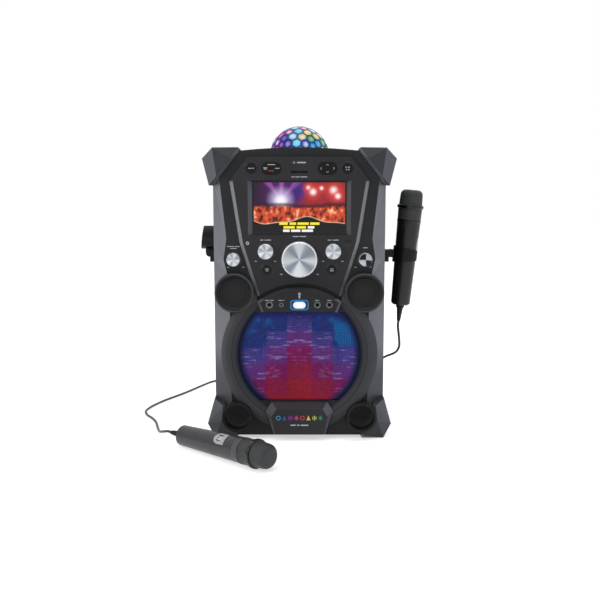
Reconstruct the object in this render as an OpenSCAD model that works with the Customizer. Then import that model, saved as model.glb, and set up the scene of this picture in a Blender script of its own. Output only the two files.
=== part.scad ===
// Karaoke machine with a side-loading disc tray, two wired microphones and a rotating light dome.
// Millimetres. The origin is on the floor under the middle of the cabinet.
// +Z is up and the front faces -Y. Depths d are measured backwards from the raised panel's face.

/* [Cabinet] */
// Width of the casing between its side walls
body_w = 290; // [284:1:300]
// Depth from the raised panel's face to the rear wall
body_d = 220; // [216:1:250]
// Height of the casing's top edge where its arch begins
body_top = 488; // [486:1:500]
// Rise of the arched top at its middle
crown = 5; // [3:0.5:7]
// Gap between the floor and the casing's underside
foot_h = 6.5; // [5:0.5:8]
// Wall thickness of the casings
wall = 3; // [2.5:0.5:3.5]
// Depth of the front casing, back to its seam with the rear casing
front_d = 50; // [48:1:54]
// Width of the slanted facets beside the front face, at the casing's foot
facet_w = 29; // [27:1:31]
// Depth at which the facets end and the side walls begin
facet_d = 30; // [26:1:32]
// Chamfer round the rear wall
rear_chamfer = 8; // [5:1:10]

/* [Panel] */
// Thickness of the raised control panel
panel_t = 6; // [5:0.5:7]
// Half width of the panel at its widest
panel_hw = 115.7; // [112:0.1:118]
// Width of the grey strips on its lower sides
strip_w = 6; // [4:0.5:7]
// Width of the display window
window_w = 155; // [150:1:158]
// Height of the display window
window_h = 87; // [84:1:90]
// Height of the display's middle above the floor
window_z = 394.5; // [393:0.5:396]
// Width of the slope beside the display
window_slope = 7.5; // [5:0.5:8]
// Thickness of the display module
display_t = 13; // [10:1:14]

/* [Controls] */
// Radius of the master volume knob
master_r = 30; // [26:0.5:32]
// Radius of the two microphone volume knobs
volume_r = 13.2; // [11:0.2:14]
// Radius of the two outer knobs
outer_r = 11.5; // [9:0.5:12.5]
// Height of the master knob in front of the panel
master_h = 15; // [10:1:18]
// Height of the small knobs
knob_h = 12; // [9:1:14]
// Radius of a control spindle
spindle_r = 3; // [2.5:0.25:3.5]
// Radius of the round buttons in the top row
button_r = 8; // [7:0.5:9]
// Radius of the two round buttons beside the master knob
small_button_r = 7; // [6:0.5:7.5]
// Width of the two pill buttons
pill_w = 31; // [28:1:32]
// Height of the two pill buttons
pill_h = 19.5; // [16:0.5:20]
// Width of the oval voice button
voice_w = 21; // [18:0.5:22]
// Height of the oval voice button
voice_h = 11; // [9:0.5:12]
// Travel of a button
press = 1; // [0.8:0.1:1.2]
// Gap round a button's cap
button_gap = 0.35; // [0.3:0.05:0.5]

/* [Speakers] */
// Height of the woofer's centre above the floor
woofer_z = 147.5; // [146:0.5:149]
// Outer radius of the woofer's trim ring
ring_r = 132; // [130:0.5:133]
// Radius of the lit grille
grille_r = 108; // [107:0.5:109]
// Clear radius inside the trim ring
grille_open_r = 104.5; // [102:0.5:105.5]
// Radius of the woofer's frame
woofer_r = 78; // [70:1:80]
// Distance of a tweeter from the middle plane
tweeter_x = 108.6; // [107:0.1:110]
// Height of a tweeter's centre
tweeter_z = 253.5; // [252.5:0.5:255]
// Outer radius of a tweeter's ring
tweeter_r = 33; // [31.5:0.5:34]
// Radius of a tweeter's driver
driver_r = 23.7; // [22:0.1:24.5]
// Distance of a bass port from the middle plane
port_x = 105.2; // [104:0.1:107]
// Height of a bass port's centre
port_z = 42; // [41:0.5:43]
// Outer radius of a bass port
port_r = 25; // [24:0.5:25.5]
// Bore radius of a bass port
port_bore_r = 21.5; // [19:0.5:21.5]
// Length of a bass port behind the front face
port_len = 85; // [60:1:100]

/* [Dome] */
// Radius of the rotating lens
dome_r = 52.6; // [51:0.1:55]
// Height of the lens's centre above the floor
dome_z = 480.8; // [479:0.2:482]
// Wall thickness of the lens
dome_t = 2.5; // [2:0.5:3]

/* [Disc drive] */
// Radius of a disc
disc_r = 60; // [60:0.5:60.5]
// Height of the tray's underside above the floor
tray_z = 390; // [388:1:392]
// Thickness of the tray
tray_t = 8; // [7:0.5:9]
// Distance from the rear wall's face to the disc's centre
drive_back = 93; // [92:1:95]
// Gap between the disc and its recess
disc_gap = 0.6; // [0.5:0.1:1]
// Radius of the drive's pivot pins
drive_pin_r = 2; // [1.5:0.25:2.5]

/* [Microphones] */
// Length of a microphone without its strain relief
mic_len = 206; // [200:1:212]
// Radius of its handle at the tail
mic_tail_r = 17; // [16:0.1:17.5]
// Radius of its handle at the collar
mic_top_r = 20.6; // [20:0.1:21]
// Radius of the rim round its head
mic_rim_r = 23.3; // [22.5:0.1:24]
// Radius of its head
mic_head_r = 20.6; // [19.5:0.1:21]
// Length of the tapered strain relief
relief_len = 30; // [22:1:36]

/* [Holders] */
// Distance of a holder's pivot from the side wall
pivot_out = 15; // [14:0.5:18]
// Height of the pivots above the floor
pivot_z = 311; // [305:1:315]
// Distance from the pivot to the clip's centre
arm_len = 30; // [29:0.5:34]
// Gap between a handle and its clip
clip_play = 0.15; // [0.1:0.05:0.3]
// Wall thickness of the clip
clip_t = 3.2; // [2.5:0.1:4]
// Height of the clip at its middle
clip_h = 23; // [20:1:24]
// Extra height of the clip above and below at its pivot, taken off at its far side
clip_flare = 4; // [2:0.5:5]
// Radius of the pivot pins
pivot_r = 2; // [1.5:0.25:2.5]
// Downward tilt of the holder that is folded out
holder_tilt = 5; // [4:0.5:6]

/* [Cords] */
// Diameter of a microphone cord
cord_d = 4.4; // [4:0.1:4.8]
// Radius of a coil at the middle of its turns
coil_r = 26; // [25:0.5:28]
// Distance between neighbouring turns
turn_pitch = 5; // [5:0.1:5.4]
// Height of a layer of turns
layer_h = 4.9; // [4.9:0.1:5.3]
// Loops in the left coil
left_loops = 10; // [8:2:12]
// Loops in the right coil
right_loops = 12; // [8:2:12]
// Thickness of a cord tie
tie_t = 0.8; // [0.6:0.1:0.8]

/* [Hidden] */
$fn = 96;
eps = 0.01;
// Facets on a hull's own round children
hull_fn = 32;

// Y of a depth behind the raised panel's face
function at(d) = d - body_d / 2;
half_w = body_w / 2;
face_d = panel_t;
inner_d = face_d + wall;
seam_y = at(front_d);
rear_y = body_d / 2;
side_wall_x = half_w - wall;

// The arch of the top: a circle through three points of the edge
arch_half = 97;
arch_r = (arch_half * arch_half + crown * crown) / (2 * crown);
arch_z = body_top + crown - arch_r;

// Height of each break in the facets' front edge, and the facet's width there
facet_line = [
    [foot_h - 1, facet_w], [82, facet_w], [217, facet_w - 1], [286, facet_w - 5.5],
    [309, facet_w - 10.7], [343, facet_w - 5.6], [440, facet_w - 16.2], [body_top + 20, facet_w - 16.2]
];

// Half outline of the control panel: top corner, widest, waist, foot
panel_top = [85.2, 478];
panel_wide = [panel_hw, 438.5];
panel_waist = [panel_hw - 15.7, 338];
panel_foot = [panel_hw - 46.9, 237];

// The jack panel is a lens between its arched top and its straight foot
jack_arc_r = 110;
jack_arc_z = 149.3;
jack_foot_z = 221.7;
jack_half = 59.5;
jack_lean = 0.417;
jack_front = -6;
jack_rim = 4;
trough_r = jack_arc_r + 10;
jack_z = 234;
// X of each jack, its bore, its nut and its barrel's radius
jack_xs = [-50, -30, 30, 50];
jack_bores = [3.2, 1.8, 3.2, 3.2];
jack_nuts = [6, 3.6, 5.4, 5.4];
jack_barrel_r = 4.8;
jack_end = 30;

// Nameplate outlines, half of each
plate_top_z = 65.8;
plate_foot_z = 8.8;
plate_half = [[47.3, plate_top_z], [58.2, 49.4], [43.7, plate_foot_z]];
plate_face_half = [[39, 56.4], [47.5, 43.2], [42, 12]];
plate_front = -12;

// Heights between which the woofer's opening is cut
band_low = plate_top_z + 1;
band_high = jack_foot_z - 1.5;
port_wall_r = port_bore_r + 1.8;
spigot_r = tweeter_r - 5;
ring_depth = 28;
spigot_end = 18;

// Control positions, X and Z
master_at = [0, 310];
volume_at = [56, 323];
outer_z = 309;
outer_share = 0.5317;
panel_edge = panel_foot[0] + (panel_waist[0] - panel_foot[0]) * (outer_z - panel_foot[1])
    / (panel_waist[1] - panel_foot[1]);
outer_at = [panel_edge + outer_share * (half_w - facet_line[4][1] - panel_edge), outer_z];
small_button_at = [54, 292];
power_at = [79, 459];
pill_at = [46, 459];
voice_at = [0, 233.5];
card_at = [0, 452.8];
card_slot = [27, 4.5];
flange_extra = 2;
flange_t = 2;
board_d = face_d + display_t + 2;
bush_r = spindle_r + 1;
pot_r = 8;
running = 0.05;

// Screws through the rear casing into posts of the front casing
screw_places = [[128, 205], [128, 330], [118, 465], [60, 28]];
screw_r = 1.5;
screw_head_r = 3.6;
screw_head_h = 3;
post_r = 5;
well_r = 6;
well_bore_r = 4.2;

// The dome's cup hangs from the casing's top
cup_r = dome_r + 0.8;
cup_t = 3;
cup_floor_z = dome_z - 24;
dome_rim_z = dome_z - 8;
top_at_dome = body_top + crown;

// Disc drive: the tray slides out to the left
drive_y = rear_y - drive_back;
tray_half = 64;
disc_x = side_wall_x * -1 + disc_r + disc_gap + 8.5;
tray_in_x = disc_x + disc_r + disc_gap + 9;
bezel_half = tray_half + 4;
bezel_z = [tray_z - 4, tray_z + tray_t + 4];
bezel_gap = 0.5;
hub_slot_r = 18;
hub_r = 13;
gear_module = 1.25;
pinion_teeth = 14;
pitch = PI * gear_module;
pinion_pitch_r = gear_module * pinion_teeth / 2;
tray_teeth = 30;
tray_travel = tray_teeth * pitch;
rack_y = drive_y + tray_half;
pinion_x = side_wall_x * -1 + pinion_pitch_r + gear_module + 0.9;
pinion_y = rack_y + pinion_pitch_r;
frame_z = tray_z - 14;
frame_t = 3;
bridge_z = tray_z + tray_t + 6;
disc_floor_z = tray_z + tray_t - 4.2;

// Microphone stations along its axis from the tail
clip_s = 91;
switch_s = 106;
switch_half = 14;
switch_flat = 17.4;
collar_s = 148;
band_s = 153;
rim_s = 173;
rim_w = 6;
relief_r = 5.5;
clip_r = handle_r(clip_s) + clip_play;
cord_r = cord_d / 2;

// Where the two microphones are: tail point, bearing, rise and roll
pivot_x = half_w + pivot_out;
right_clip = [pivot_x + arm_len * cos(holder_tilt), 0, pivot_z - arm_len * sin(holder_tilt)];
right_tail = right_clip - clip_s * [sin(holder_tilt), 0, cos(holder_tilt)];
left_rise = asin((mic_rim_r - mic_tail_r) / (rim_s + 1));
left_tail = [-196, -140, mic_tail_r * cos(left_rise) + 0.02];
left_bearing = -42;
left_roll = 35;

// Cord routes. They start at the strain reliefs and end at the coils.
floor_z = cord_r;
coil_floor = tie_t + 0.05;
coil_low = coil_floor + cord_r;
coil_top = coil_low + layer_h;
left_coil_at = [-56, 204];
right_coil_at = [74, 188];
left_coil_out = coil_r + turn_pitch * left_loops / 4;
right_coil_out = coil_r + turn_pitch * right_loops / 4;
left_axis = [
    cos(left_rise) * cos(left_bearing), cos(left_rise) * sin(left_bearing), sin(left_rise)
];
exit_gap = 0.3;
left_exit = left_tail - (relief_len + exit_gap) * left_axis;
right_exit = right_tail - (relief_len + exit_gap) * [sin(holder_tilt), 0, cos(holder_tilt)];
left_lead = left_exit - 9 * left_axis;
right_lead = right_exit - 9 * [sin(holder_tilt), 0, cos(holder_tilt)];
left_route = [
    left_exit, left_lead, [-236, -101, 11], [-244, -82, 5.6], [-250, -60, 2.8], [-256, -36, 2.2],
    [-263, -10, 2.2], [-274, 14, 2.2], [-287, 36, 2.2], [-294, 62, 2.2], [-290, 90, 2.2],
    [-281, 116, 2.2], [-270, 142, 2.2], [-255, 170, 2.2], [-240, 198, 2.2], [-226, 228, 2.2],
    [-210, 264, 2.2], [-192, 300, 2.2], [-166, 322, 2.2], [-136, 320, 2.2], [-112, 300, 2.2],
    [-99, 270, 2.3], [left_coil_at[0] - left_coil_out, 240, 2.8],
    [left_coil_at[0] - left_coil_out, left_coil_at[1] + 2 * cord_d, coil_low],
    [left_coil_at[0] - left_coil_out, left_coil_at[1] + cord_d, coil_low]
];
right_route = [
    right_exit, right_lead, [180, 2, 166], [182, 6, 152], [183, 14, 138], [180, 27, 126],
    [174, 46, 117], [166, 70, 108], [159, 94, 97], [153, 116, 82], [148, 136, 62],
    [143, 154, 40], [138, 172, 20], [132, 190, 7], [122, 207, 3.2], [108, 220, 2.9],
    [92, right_coil_at[1] + right_coil_out, 3],
    [right_coil_at[0] + 2 * cord_d, right_coil_at[1] + right_coil_out, coil_low],
    [right_coil_at[0] + cord_d, right_coil_at[1] + right_coil_out, coil_low]
];
// Straight end of a coil before its plug, and the plug's own lengths
coil_end = 31;
plug_grip_len = 26;
plug_tip_len = 30;
plug_tip_r = 3.1;
plug_grip_r = coil_top - 0.02;

// Extrudes a front-view outline, given in X and Z, from one Y to another
module plate(y0, y1) {
    translate([0, y1, 0])
        rotate([90, 0, 0])
            linear_extrude(y1 - y0)
                children();
}

// A cylinder along Y at a front-view point
module rod(r, y0, y1, p) {
    translate([p[0], y1, p[1]])
        rotate([90, 0, 0])
            cylinder(r = r, h = y1 - y0);
}

// A ring along Y
module pipe(r, bore, y0, y1, p) {
    difference() {
        rod(r, y0, y1, p);
        rod(bore, y0 - 1, y1 + 1, p);
    }
}

// A body turned about a front-view point. Profile points are radius and Y.
module turned(p, profile) {
    translate([p[0], 0, p[1]])
        rotate([90, 0, 0])
            rotate_extrude()
                polygon([for (q = profile) [q[0], -q[1]]]);
}

module both_sides() {
    children();
    mirror([1, 0, 0])
        children();
}

// A full outline from its right half
function mirrored(half) = concat(half, [for (i = [len(half) - 1 : -1 : 0]) [-half[i][0], half[i][1]]]);

module pill(w, h) {
    square([w - h, h], center = true);
    for (s = [-1, 1])
        translate([s * (w - h) / 2, 0])
            circle(d = h);
}

// Front view of the cabinet with its arched top
module outline(inset = 0) {
    intersection() {
        translate([-half_w + inset, foot_h + inset])
            square([body_w - 2 * inset, body_top + 2 * crown - foot_h - inset]);
        translate([0, arch_z])
            circle(r = arch_r - inset, $fn = 360);
    }
}

// The front casing's faceted block. Each level is a ring of six points.
function facet_ring(level, inset) = [
    [-half_w + inset, seam_y + 2 * inset, level[0]],
    [-half_w + inset, at(facet_d) + 0.6 * inset, level[0]],
    [-half_w + level[1] + 0.4 * inset, at(face_d) + inset, level[0]],
    [half_w - level[1] - 0.4 * inset, at(face_d) + inset, level[0]],
    [half_w - inset, at(facet_d) + 0.6 * inset, level[0]],
    [half_w - inset, seam_y + 2 * inset, level[0]]
];

module facet_block(inset = 0) {
    levels = len(facet_line);
    n = 6;
    points = [for (level = facet_line) each facet_ring(level, inset)];
    sides = [
        for (k = [0 : levels - 2], i = [0 : n - 1])
            let (a = k * n + i, b = k * n + (i + 1) % n)
                each (i < 3 ? [[a, b, a + n], [b, b + n, a + n]] : [[a, b, b + n], [a, b + n, a + n]])
    ];
    foot = [for (i = [1 : n - 2]) [0, i + 1, i]];
    head = [for (i = [1 : n - 2]) [(levels - 1) * n, (levels - 1) * n + i, (levels - 1) * n + i + 1]];
    polyhedron(points, [for (t = concat(sides, foot, head)) [t[0], t[2], t[1]]]);
}

module front_block(inset = 0) {
    intersection() {
        facet_block(inset);
        plate(at(face_d) - 1, seam_y + 3 * wall)
            outline(inset);
    }
}

module rear_block(inset = 0) {
    plate(seam_y - inset * 0.5, rear_y - rear_chamfer)
        outline(inset);
    hull() {
        plate(rear_y - rear_chamfer - eps, rear_y - rear_chamfer)
            outline(inset);
        plate(rear_y - inset - eps, rear_y - inset)
            outline(rear_chamfer + inset * 0.4);
    }
}

module lens_outline(grow = 0) {
    reach = 80;
    intersection() {
        translate([0, jack_arc_z])
            circle(r = jack_arc_r + grow, $fn = 180);
        polygon([
            [-jack_half - grow, jack_foot_z - grow * 0.4],
            [jack_half + grow, jack_foot_z - grow * 0.4],
            [jack_half + grow + jack_lean * reach, jack_foot_z + reach],
            [-jack_half - grow - jack_lean * reach, jack_foot_z + reach]
        ]);
    }
}

module panel_outline() {
    difference() {
        polygon(mirrored([
            panel_top, panel_wide, panel_wide - [strip_w, 0],
            panel_waist - [strip_w, 0], panel_foot - [strip_w, 0]
        ]));
        translate([0, jack_arc_z])
            circle(r = trough_r, $fn = 180);
    }
}

// Outer volumes of the corner pieces, right-hand side
module guard_blank() {
    hull() {
        plate(at(8), at(front_d - 2))
            polygon([
                [half_w + 15.5, body_top - 13], [half_w - 1.6, body_top + crown + 0.5],
                [half_w - 44, body_top + crown + 0.5], [half_w - 48.3, body_top],
                [half_w - 2.5, body_top - 57], [half_w + 4.6, body_top - 57]
            ]);
        plate(at(-4), at(-3.5))
            polygon([
                [half_w - 2.5, body_top + crown - 1.5], [half_w - 32.8, body_top - 13],
                [half_w - 9, body_top - 41.6]
            ]);
    }
}

module foot_blank() {
    hull() {
        plate(at(10), at(front_d - 2))
            polygon([
                [half_w + 0.2, 69.5], [half_w - 16.4, 64], [half_w - 41.6, foot_h],
                [half_w - 37.4, 0], [half_w - 0.4, 0], [half_w + 12.5, 25.4]
            ]);
        plate(at(-2), at(-1.5))
            polygon([
                [half_w - 15, 60], [half_w - 12, 32], [half_w - 37, 8]
            ]);
    }
}

// Holes in the front face for the controls: spindle bushes and button flanges
module control_holes(y0, y1, flanges) {
    extra = flanges ? flange_extra + button_gap : button_gap;
    for (s = [-1, 1]) {
        rod(bush_r + 0.2, y0, y1, [s * volume_at[0], volume_at[1]]);
        rod(small_button_r + extra, y0, y1, [s * small_button_at[0], small_button_at[1]]);
        rod(button_r + extra, y0, y1, [s * power_at[0], power_at[1]]);
        plate(y0, y1)
            translate([s * pill_at[0], pill_at[1]])
                pill(pill_w + 2 * extra, pill_h + 2 * extra);
    }
    rod(bush_r + 0.2, y0, y1, master_at);
    plate(y0, y1)
        translate(card_at)
            square(card_slot, center = true);
}

// Opening in the left wall for the tray's bezel
module bezel_cut() {
    translate([-half_w - 1, drive_y - bezel_half - bezel_gap, bezel_z[0] - bezel_gap])
        cube([wall + 2, 2 * (bezel_half + bezel_gap), bezel_z[1] - bezel_z[0] + 2 * bezel_gap]);
}

module front_casing() {
    color([0.17, 0.17, 0.18])
    difference() {
        union() {
            difference() {
                front_block();
                front_block(wall);
            }
            intersection() {
                front_block(1);
                both_sides()
                    for (p = screw_places)
                        rod(post_r, at(face_d), seam_y, p);
            }
        }
        translate([-body_w, seam_y, 0])
            cube([2 * body_w, body_d, 2 * body_top]);
        intersection() {
            rod(ring_r - 7, at(0), at(ring_depth), [0, woofer_z]);
            translate([-half_w, at(0), band_low])
                cube([body_w, ring_depth, band_high - band_low]);
        }
        both_sides() {
            rod(spigot_r + 0.3, at(0), at(ring_depth), [tweeter_x, tweeter_z]);
            rod(port_wall_r + 0.3, at(0), at(ring_depth), [port_x, port_z]);
            rod(bush_r + 0.2, at(0), at(inner_d + 1), outer_at);
            for (p = screw_places)
                rod(screw_r + 0.1, seam_y - 20, seam_y + 1, p);
        }
        translate([-(window_w / 2 + window_slope), at(face_d) - 1, window_z - window_h / 2 - 5])
            cube([window_w + 2 * window_slope, wall + 2, window_h + 10]);
        bezel_cut();
        control_holes(at(face_d) - 1, at(inner_d) + 1, true);
        plate(at(face_d) - 1, at(inner_d) + 1)
            translate(voice_at)
                pill(voice_w + 2 * (flange_extra + button_gap), voice_h + 2 * (flange_extra + button_gap));
        for (x = jack_xs)
            rod(jack_barrel_r + 0.2, at(face_d) - 1, at(inner_d) + 1, [x, jack_z]);
    }
}

// Finger pocket in the rear wall
grip_w = 120;
grip_h = 34;
grip_deep = 26;
grip_z = 440;
socket_plate = [112, 52];
socket_z = 92;
vent_count = 9;
vent_w = 70;
vent_h = 3.5;
vent_step = 8;
vent_z = 180;

module grip_box(grow, y1) {
    translate([-grip_w / 2 - grow, rear_y - grip_deep - grow, grip_z - grip_h / 2 - grow])
        cube([grip_w + 2 * grow, y1 - rear_y + grip_deep + grow, grip_h + 2 * grow]);
}

module rear_casing() {
    color([0.14, 0.14, 0.15])
    difference() {
        union() {
            difference() {
                rear_block();
                rear_block(wall);
            }
            both_sides()
                for (p = screw_places)
                    rod(well_r, seam_y, rear_y - 1, p);
            grip_box(wall, rear_y - 1);
        }
        grip_box(0, rear_y + 1);
        both_sides()
            for (p = screw_places) {
                rod(well_bore_r, seam_y + 6, rear_y + 1, p);
                rod(screw_r + 0.1, seam_y - 1, seam_y + 7, p);
            }
        translate([0, 0, top_at_dome - 30])
            cylinder(r = cup_r + cup_t + 0.3, h = 60);
        bezel_cut();
        translate([-socket_plate[0] / 2, rear_y - wall - 1, socket_z - socket_plate[1] / 2])
            cube([socket_plate[0], wall + 2, socket_plate[1]]);
        for (s = [-1, 1], i = [0 : vent_count - 1])
            translate([s * 48 - vent_w / 2, rear_y - wall - 1, vent_z + i * vent_step])
                cube([vent_w, wall + 2, vent_h]);
    }
}

module top_guards() {
    color([0.24, 0.25, 0.27])
    both_sides()
        difference() {
            guard_blank();
            front_block();
        }
}

module corner_feet() {
    color([0.3, 0.31, 0.34])
    both_sides()
        difference() {
            foot_blank();
            front_block();
            rod(port_r + 0.2, at(-20), at(front_d), [port_x, port_z]);
        }
}

module control_panel() {
    color([0.2, 0.2, 0.21])
    difference() {
        plate(at(0), at(face_d))
            panel_outline();
        hull() {
            plate(at(-1), at(0))
                translate([0, window_z])
                    square([window_w + 2 * window_slope, window_h + 3], center = true);
            plate(at(face_d), at(face_d) + 0.5)
                translate([0, window_z])
                    square([window_w, window_h], center = true);
        }
        control_holes(at(-1), at(face_d) + 1, false);
    }
}

// Grey strips that slope from the panel's face down to the casing
module trim_strips() {
    color([0.47, 0.48, 0.5])
    both_sides()
        difference() {
            for (run = [[panel_wide, panel_waist], [panel_waist, panel_foot]])
                hull()
                    for (p = run)
                        translate([p[0], at(face_d), p[1]])
                            strip_section();
            rod(trough_r, at(-1), at(face_d) + 1, [0, jack_arc_z]);
            rod(tweeter_r + 0.2, at(-1), at(face_d) + 1, [tweeter_x, tweeter_z]);
        }
}

module strip_section() {
    linear_extrude(eps)
        polygon([[0, 0], [-strip_w, 0], [-strip_w, -panel_t]]);
}

module display_module() {
    module_w = window_w + 2 * window_slope - 1;
    module_h = window_h + 9;
    color([0.08, 0.07, 0.12])
    translate([-module_w / 2, at(face_d), window_z - module_h / 2])
        cube([module_w, display_t, module_h]);
}

module jack_panel() {
    color([0.17, 0.17, 0.18])
    difference() {
        union() {
            plate(at(jack_front + 4), at(face_d))
                lens_outline(jack_rim);
            hull() {
                plate(at(jack_front + 4) - eps, at(jack_front + 4))
                    lens_outline(jack_rim);
                plate(at(jack_front), at(jack_front) + eps)
                    lens_outline();
            }
        }
        plate(at(jack_front) - 1, at(jack_front) + 2.4)
            translate(voice_at)
                light_outline(0.1);
        plate(at(jack_front) - 1, at(face_d) + 1)
            translate(voice_at)
                pill(voice_w + 2 * button_gap, voice_h + 2 * button_gap);
        plate(at(face_d) - 3, at(face_d) + 1)
            translate(voice_at)
                pill(voice_w + 2 * (flange_extra + button_gap), voice_h + 2 * (flange_extra + button_gap));
        for (x = jack_xs)
            rod(jack_barrel_r + 0.2, at(jack_front) - 1, at(face_d) + 1, [x, jack_z]);
    }
}

module jack_sockets() {
    color([0.6, 0.6, 0.62])
    for (i = [0 : 3])
        difference() {
            union() {
                rod(jack_nuts[i], at(jack_front - 1.5), at(jack_front), [jack_xs[i], jack_z]);
                rod(min(jack_barrel_r, jack_nuts[i]), at(jack_front), at(jack_end), [jack_xs[i], jack_z]);
            }
            rod(jack_bores[i], at(jack_front - 2), at(jack_end - 2), [jack_xs[i], jack_z]);
        }
}

module rounded(w, h, r) {
    for (v = [[w, h - 2 * r], [w - 2 * r, h]])
        square(v, center = true);
    for (x = [-1, 1], y = [-1, 1])
        translate([x * (w / 2 - r), y * (h / 2 - r)])
            circle(r = r);
}

light_line = 2.3;
module light_outline(grow) {
    difference() {
        rounded(31 + 2 * grow, 17.4 + 2 * grow, 5 + grow);
        rounded(31 - 2 * light_line - 2 * grow, 17.4 - 2 * light_line - 2 * grow, 3.4 - grow);
    }
}

module light_ring() {
    color([0.1, 0.6, 0.95])
    plate(at(jack_front) - 0.4, at(jack_front) + 2.3)
        translate(voice_at)
            light_outline(0);
}

// What lies in front of the woofer ring is cut out of it
module ring_cuts() {
    plate(at(-20), at(face_d))
        lens_outline(jack_rim + 0.2);
    plate(at(-20), at(face_d))
        polygon(mirrored([panel_wide, panel_waist, panel_foot]));
    plate(at(-20), at(face_d))
        polygon(mirrored([for (p = plate_half) p + [0.3, 0.3]]));
    both_sides() {
        rod(tweeter_r + 0.2, at(-20), at(ring_depth + 1), [tweeter_x, tweeter_z]);
        rod(port_r + 0.2, at(-20), at(ring_depth + 1), [port_x, port_z]);
    }
}

module woofer_ring() {
    centre = [0, woofer_z];
    inner = ring_r - 7.4;
    color([0.15, 0.15, 0.16])
    union() {
        difference() {
            turned(centre, [
                [grille_open_r, at(face_d)], [grille_open_r, at(8.9) - 3.4], [ring_r - 20, at(2)],
                [ring_r - 7, at(-2.5)], [ring_r - 2, at(-2.5)], [ring_r, at(-0.5)],
                [ring_r, at(ring_depth)], [inner, at(ring_depth)], [inner, at(face_d)]
            ]);
            front_block();
            ring_cuts();
        }
        intersection() {
            turned(centre, [
                [grille_open_r, at(face_d) - eps], [inner, at(face_d) - eps], [inner, at(inner_d + 0.4)],
                [grille_r + 14, at(inner_d + 0.4)], [grille_r + 14, at(16)], [grille_r + 0.4, at(16)],
                [grille_r + 0.4, at(11)], [grille_open_r, at(11)]
            ]);
            translate([-half_w, at(0), band_low + 0.2])
                cube([body_w, ring_depth, band_high - band_low - 0.4]);
        }
        turned(centre, [
            [grille_r + 0.4, at(inner_d + 0.2)], [grille_r + 14, at(inner_d + 0.2)],
            [grille_r + 14, at(16)], [grille_r + 0.4, at(16)]
        ]);
    }
}

// The lit disc is cut straight at the top and at the foot
module grille_disc(r, d0, d1) {
    intersection() {
        rod(r, at(d0), at(d1), [0, woofer_z]);
        translate([-half_w, at(0), band_low + 0.5])
            cube([body_w, ring_depth, band_high - band_low - 1]);
    }
}

grille_rows = 24;
grille_step = 6;
module light_grille() {
    color([0.2, 0.18, 0.5])
    difference() {
        grille_disc(grille_r, 11, 13);
        for (i = [-(grille_rows / 2) : grille_rows / 2 - 1])
            let (z = (i + 0.5) * grille_step, half = sqrt(pow(grille_r - 7, 2) - z * z))
                translate([-half, at(10), woofer_z - 4.5 + z - 1.2])
                    cube([2 * half, 4, 2.4]);
    }
}

module led_board() {
    rows = 7;
    color([0.1, 0.1, 0.3])
    difference() {
        grille_disc(grille_r - 0.5, 13.2, 15);
        for (i = [0 : rows - 1])
            translate([-62, at(13), band_low + 12 + i * 20])
                cube([124, 3, 12]);
    }
}

// Frame, magnet and cone of the woofer
module woofer_driver() {
    centre = [0, woofer_z];
    color([0.1, 0.1, 0.11])
    intersection() {
        turned(centre, [
            [woofer_r - 8, at(16)], [grille_r + 13, at(16)], [grille_r + 13, at(19)],
            [woofer_r, at(19)], [44, at(58)], [44, at(82)], [0, at(82)], [0, at(50)],
            [20, at(50)], [26, at(46)]
        ]);
        translate([-half_w, at(0), 0])
            cube([body_w, body_d, band_high]);
    }
}

module tweeter_rings() {
    p = [tweeter_x, tweeter_z];
    bore = driver_r + 0.3;
    color([0.16, 0.16, 0.17])
    both_sides() {
        difference() {
            turned(p, [
                [bore, at(face_d)], [bore, at(3)], [tweeter_r - 5, at(-2)], [tweeter_r - 3, at(-7.4)],
                [tweeter_r - 1.6, at(-8)], [tweeter_r, at(-6.4)], [tweeter_r, at(ring_depth)],
                [spigot_r - 0.2, at(ring_depth)], [spigot_r - 0.2, at(face_d)]
            ]);
            front_block();
        }
        pipe(spigot_r, bore, at(3), at(spigot_end), p);
    }
}

module tweeter_drivers() {
    color([0.06, 0.06, 0.06])
    both_sides()
        turned([tweeter_x, tweeter_z], [
            [0, at(1.5)], [12, at(2.6)], [driver_r, at(4)], [driver_r, at(spigot_end)],
            [spigot_r - 0.5, at(spigot_end)], [spigot_r - 0.5, at(spigot_end + 2)],
            [17, at(spigot_end + 2)], [17, at(34)], [0, at(34)]
        ]);
}

module bass_ports() {
    color([0.13, 0.13, 0.14])
    both_sides()
        difference() {
            union() {
                difference() {
                    rod(port_r, at(-15), at(ring_depth), [port_x, port_z]);
                    front_block();
                }
                rod(port_wall_r, at(-2), at(port_len), [port_x, port_z]);
            }
            rod(port_bore_r, at(-16), at(port_len + 1), [port_x, port_z]);
        }
}

module nameplate() {
    color([0.19, 0.19, 0.2])
    hull() {
        plate(at(0), at(face_d))
            polygon(mirrored(plate_half));
        plate(at(plate_front), at(plate_front) + eps)
            polygon(mirrored(plate_face_half));
    }
}

// Collar and cup that carry the dome
module dome_ring() {
    color([0.12, 0.12, 0.13])
    difference() {
        union() {
            translate([0, 0, cup_floor_z])
                cylinder(r = cup_r + cup_t, h = top_at_dome - cup_floor_z);
            difference() {
                translate([0, 0, top_at_dome - 6])
                    cylinder(r1 = cup_r + cup_t + 4, r2 = cup_r + cup_t - 1, h = 7);
                plate(at(face_d), rear_y)
                    outline();
            }
        }
        translate([0, 0, cup_floor_z + cup_t])
            cylinder(r = cup_r, h = 100);
    }
}

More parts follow.
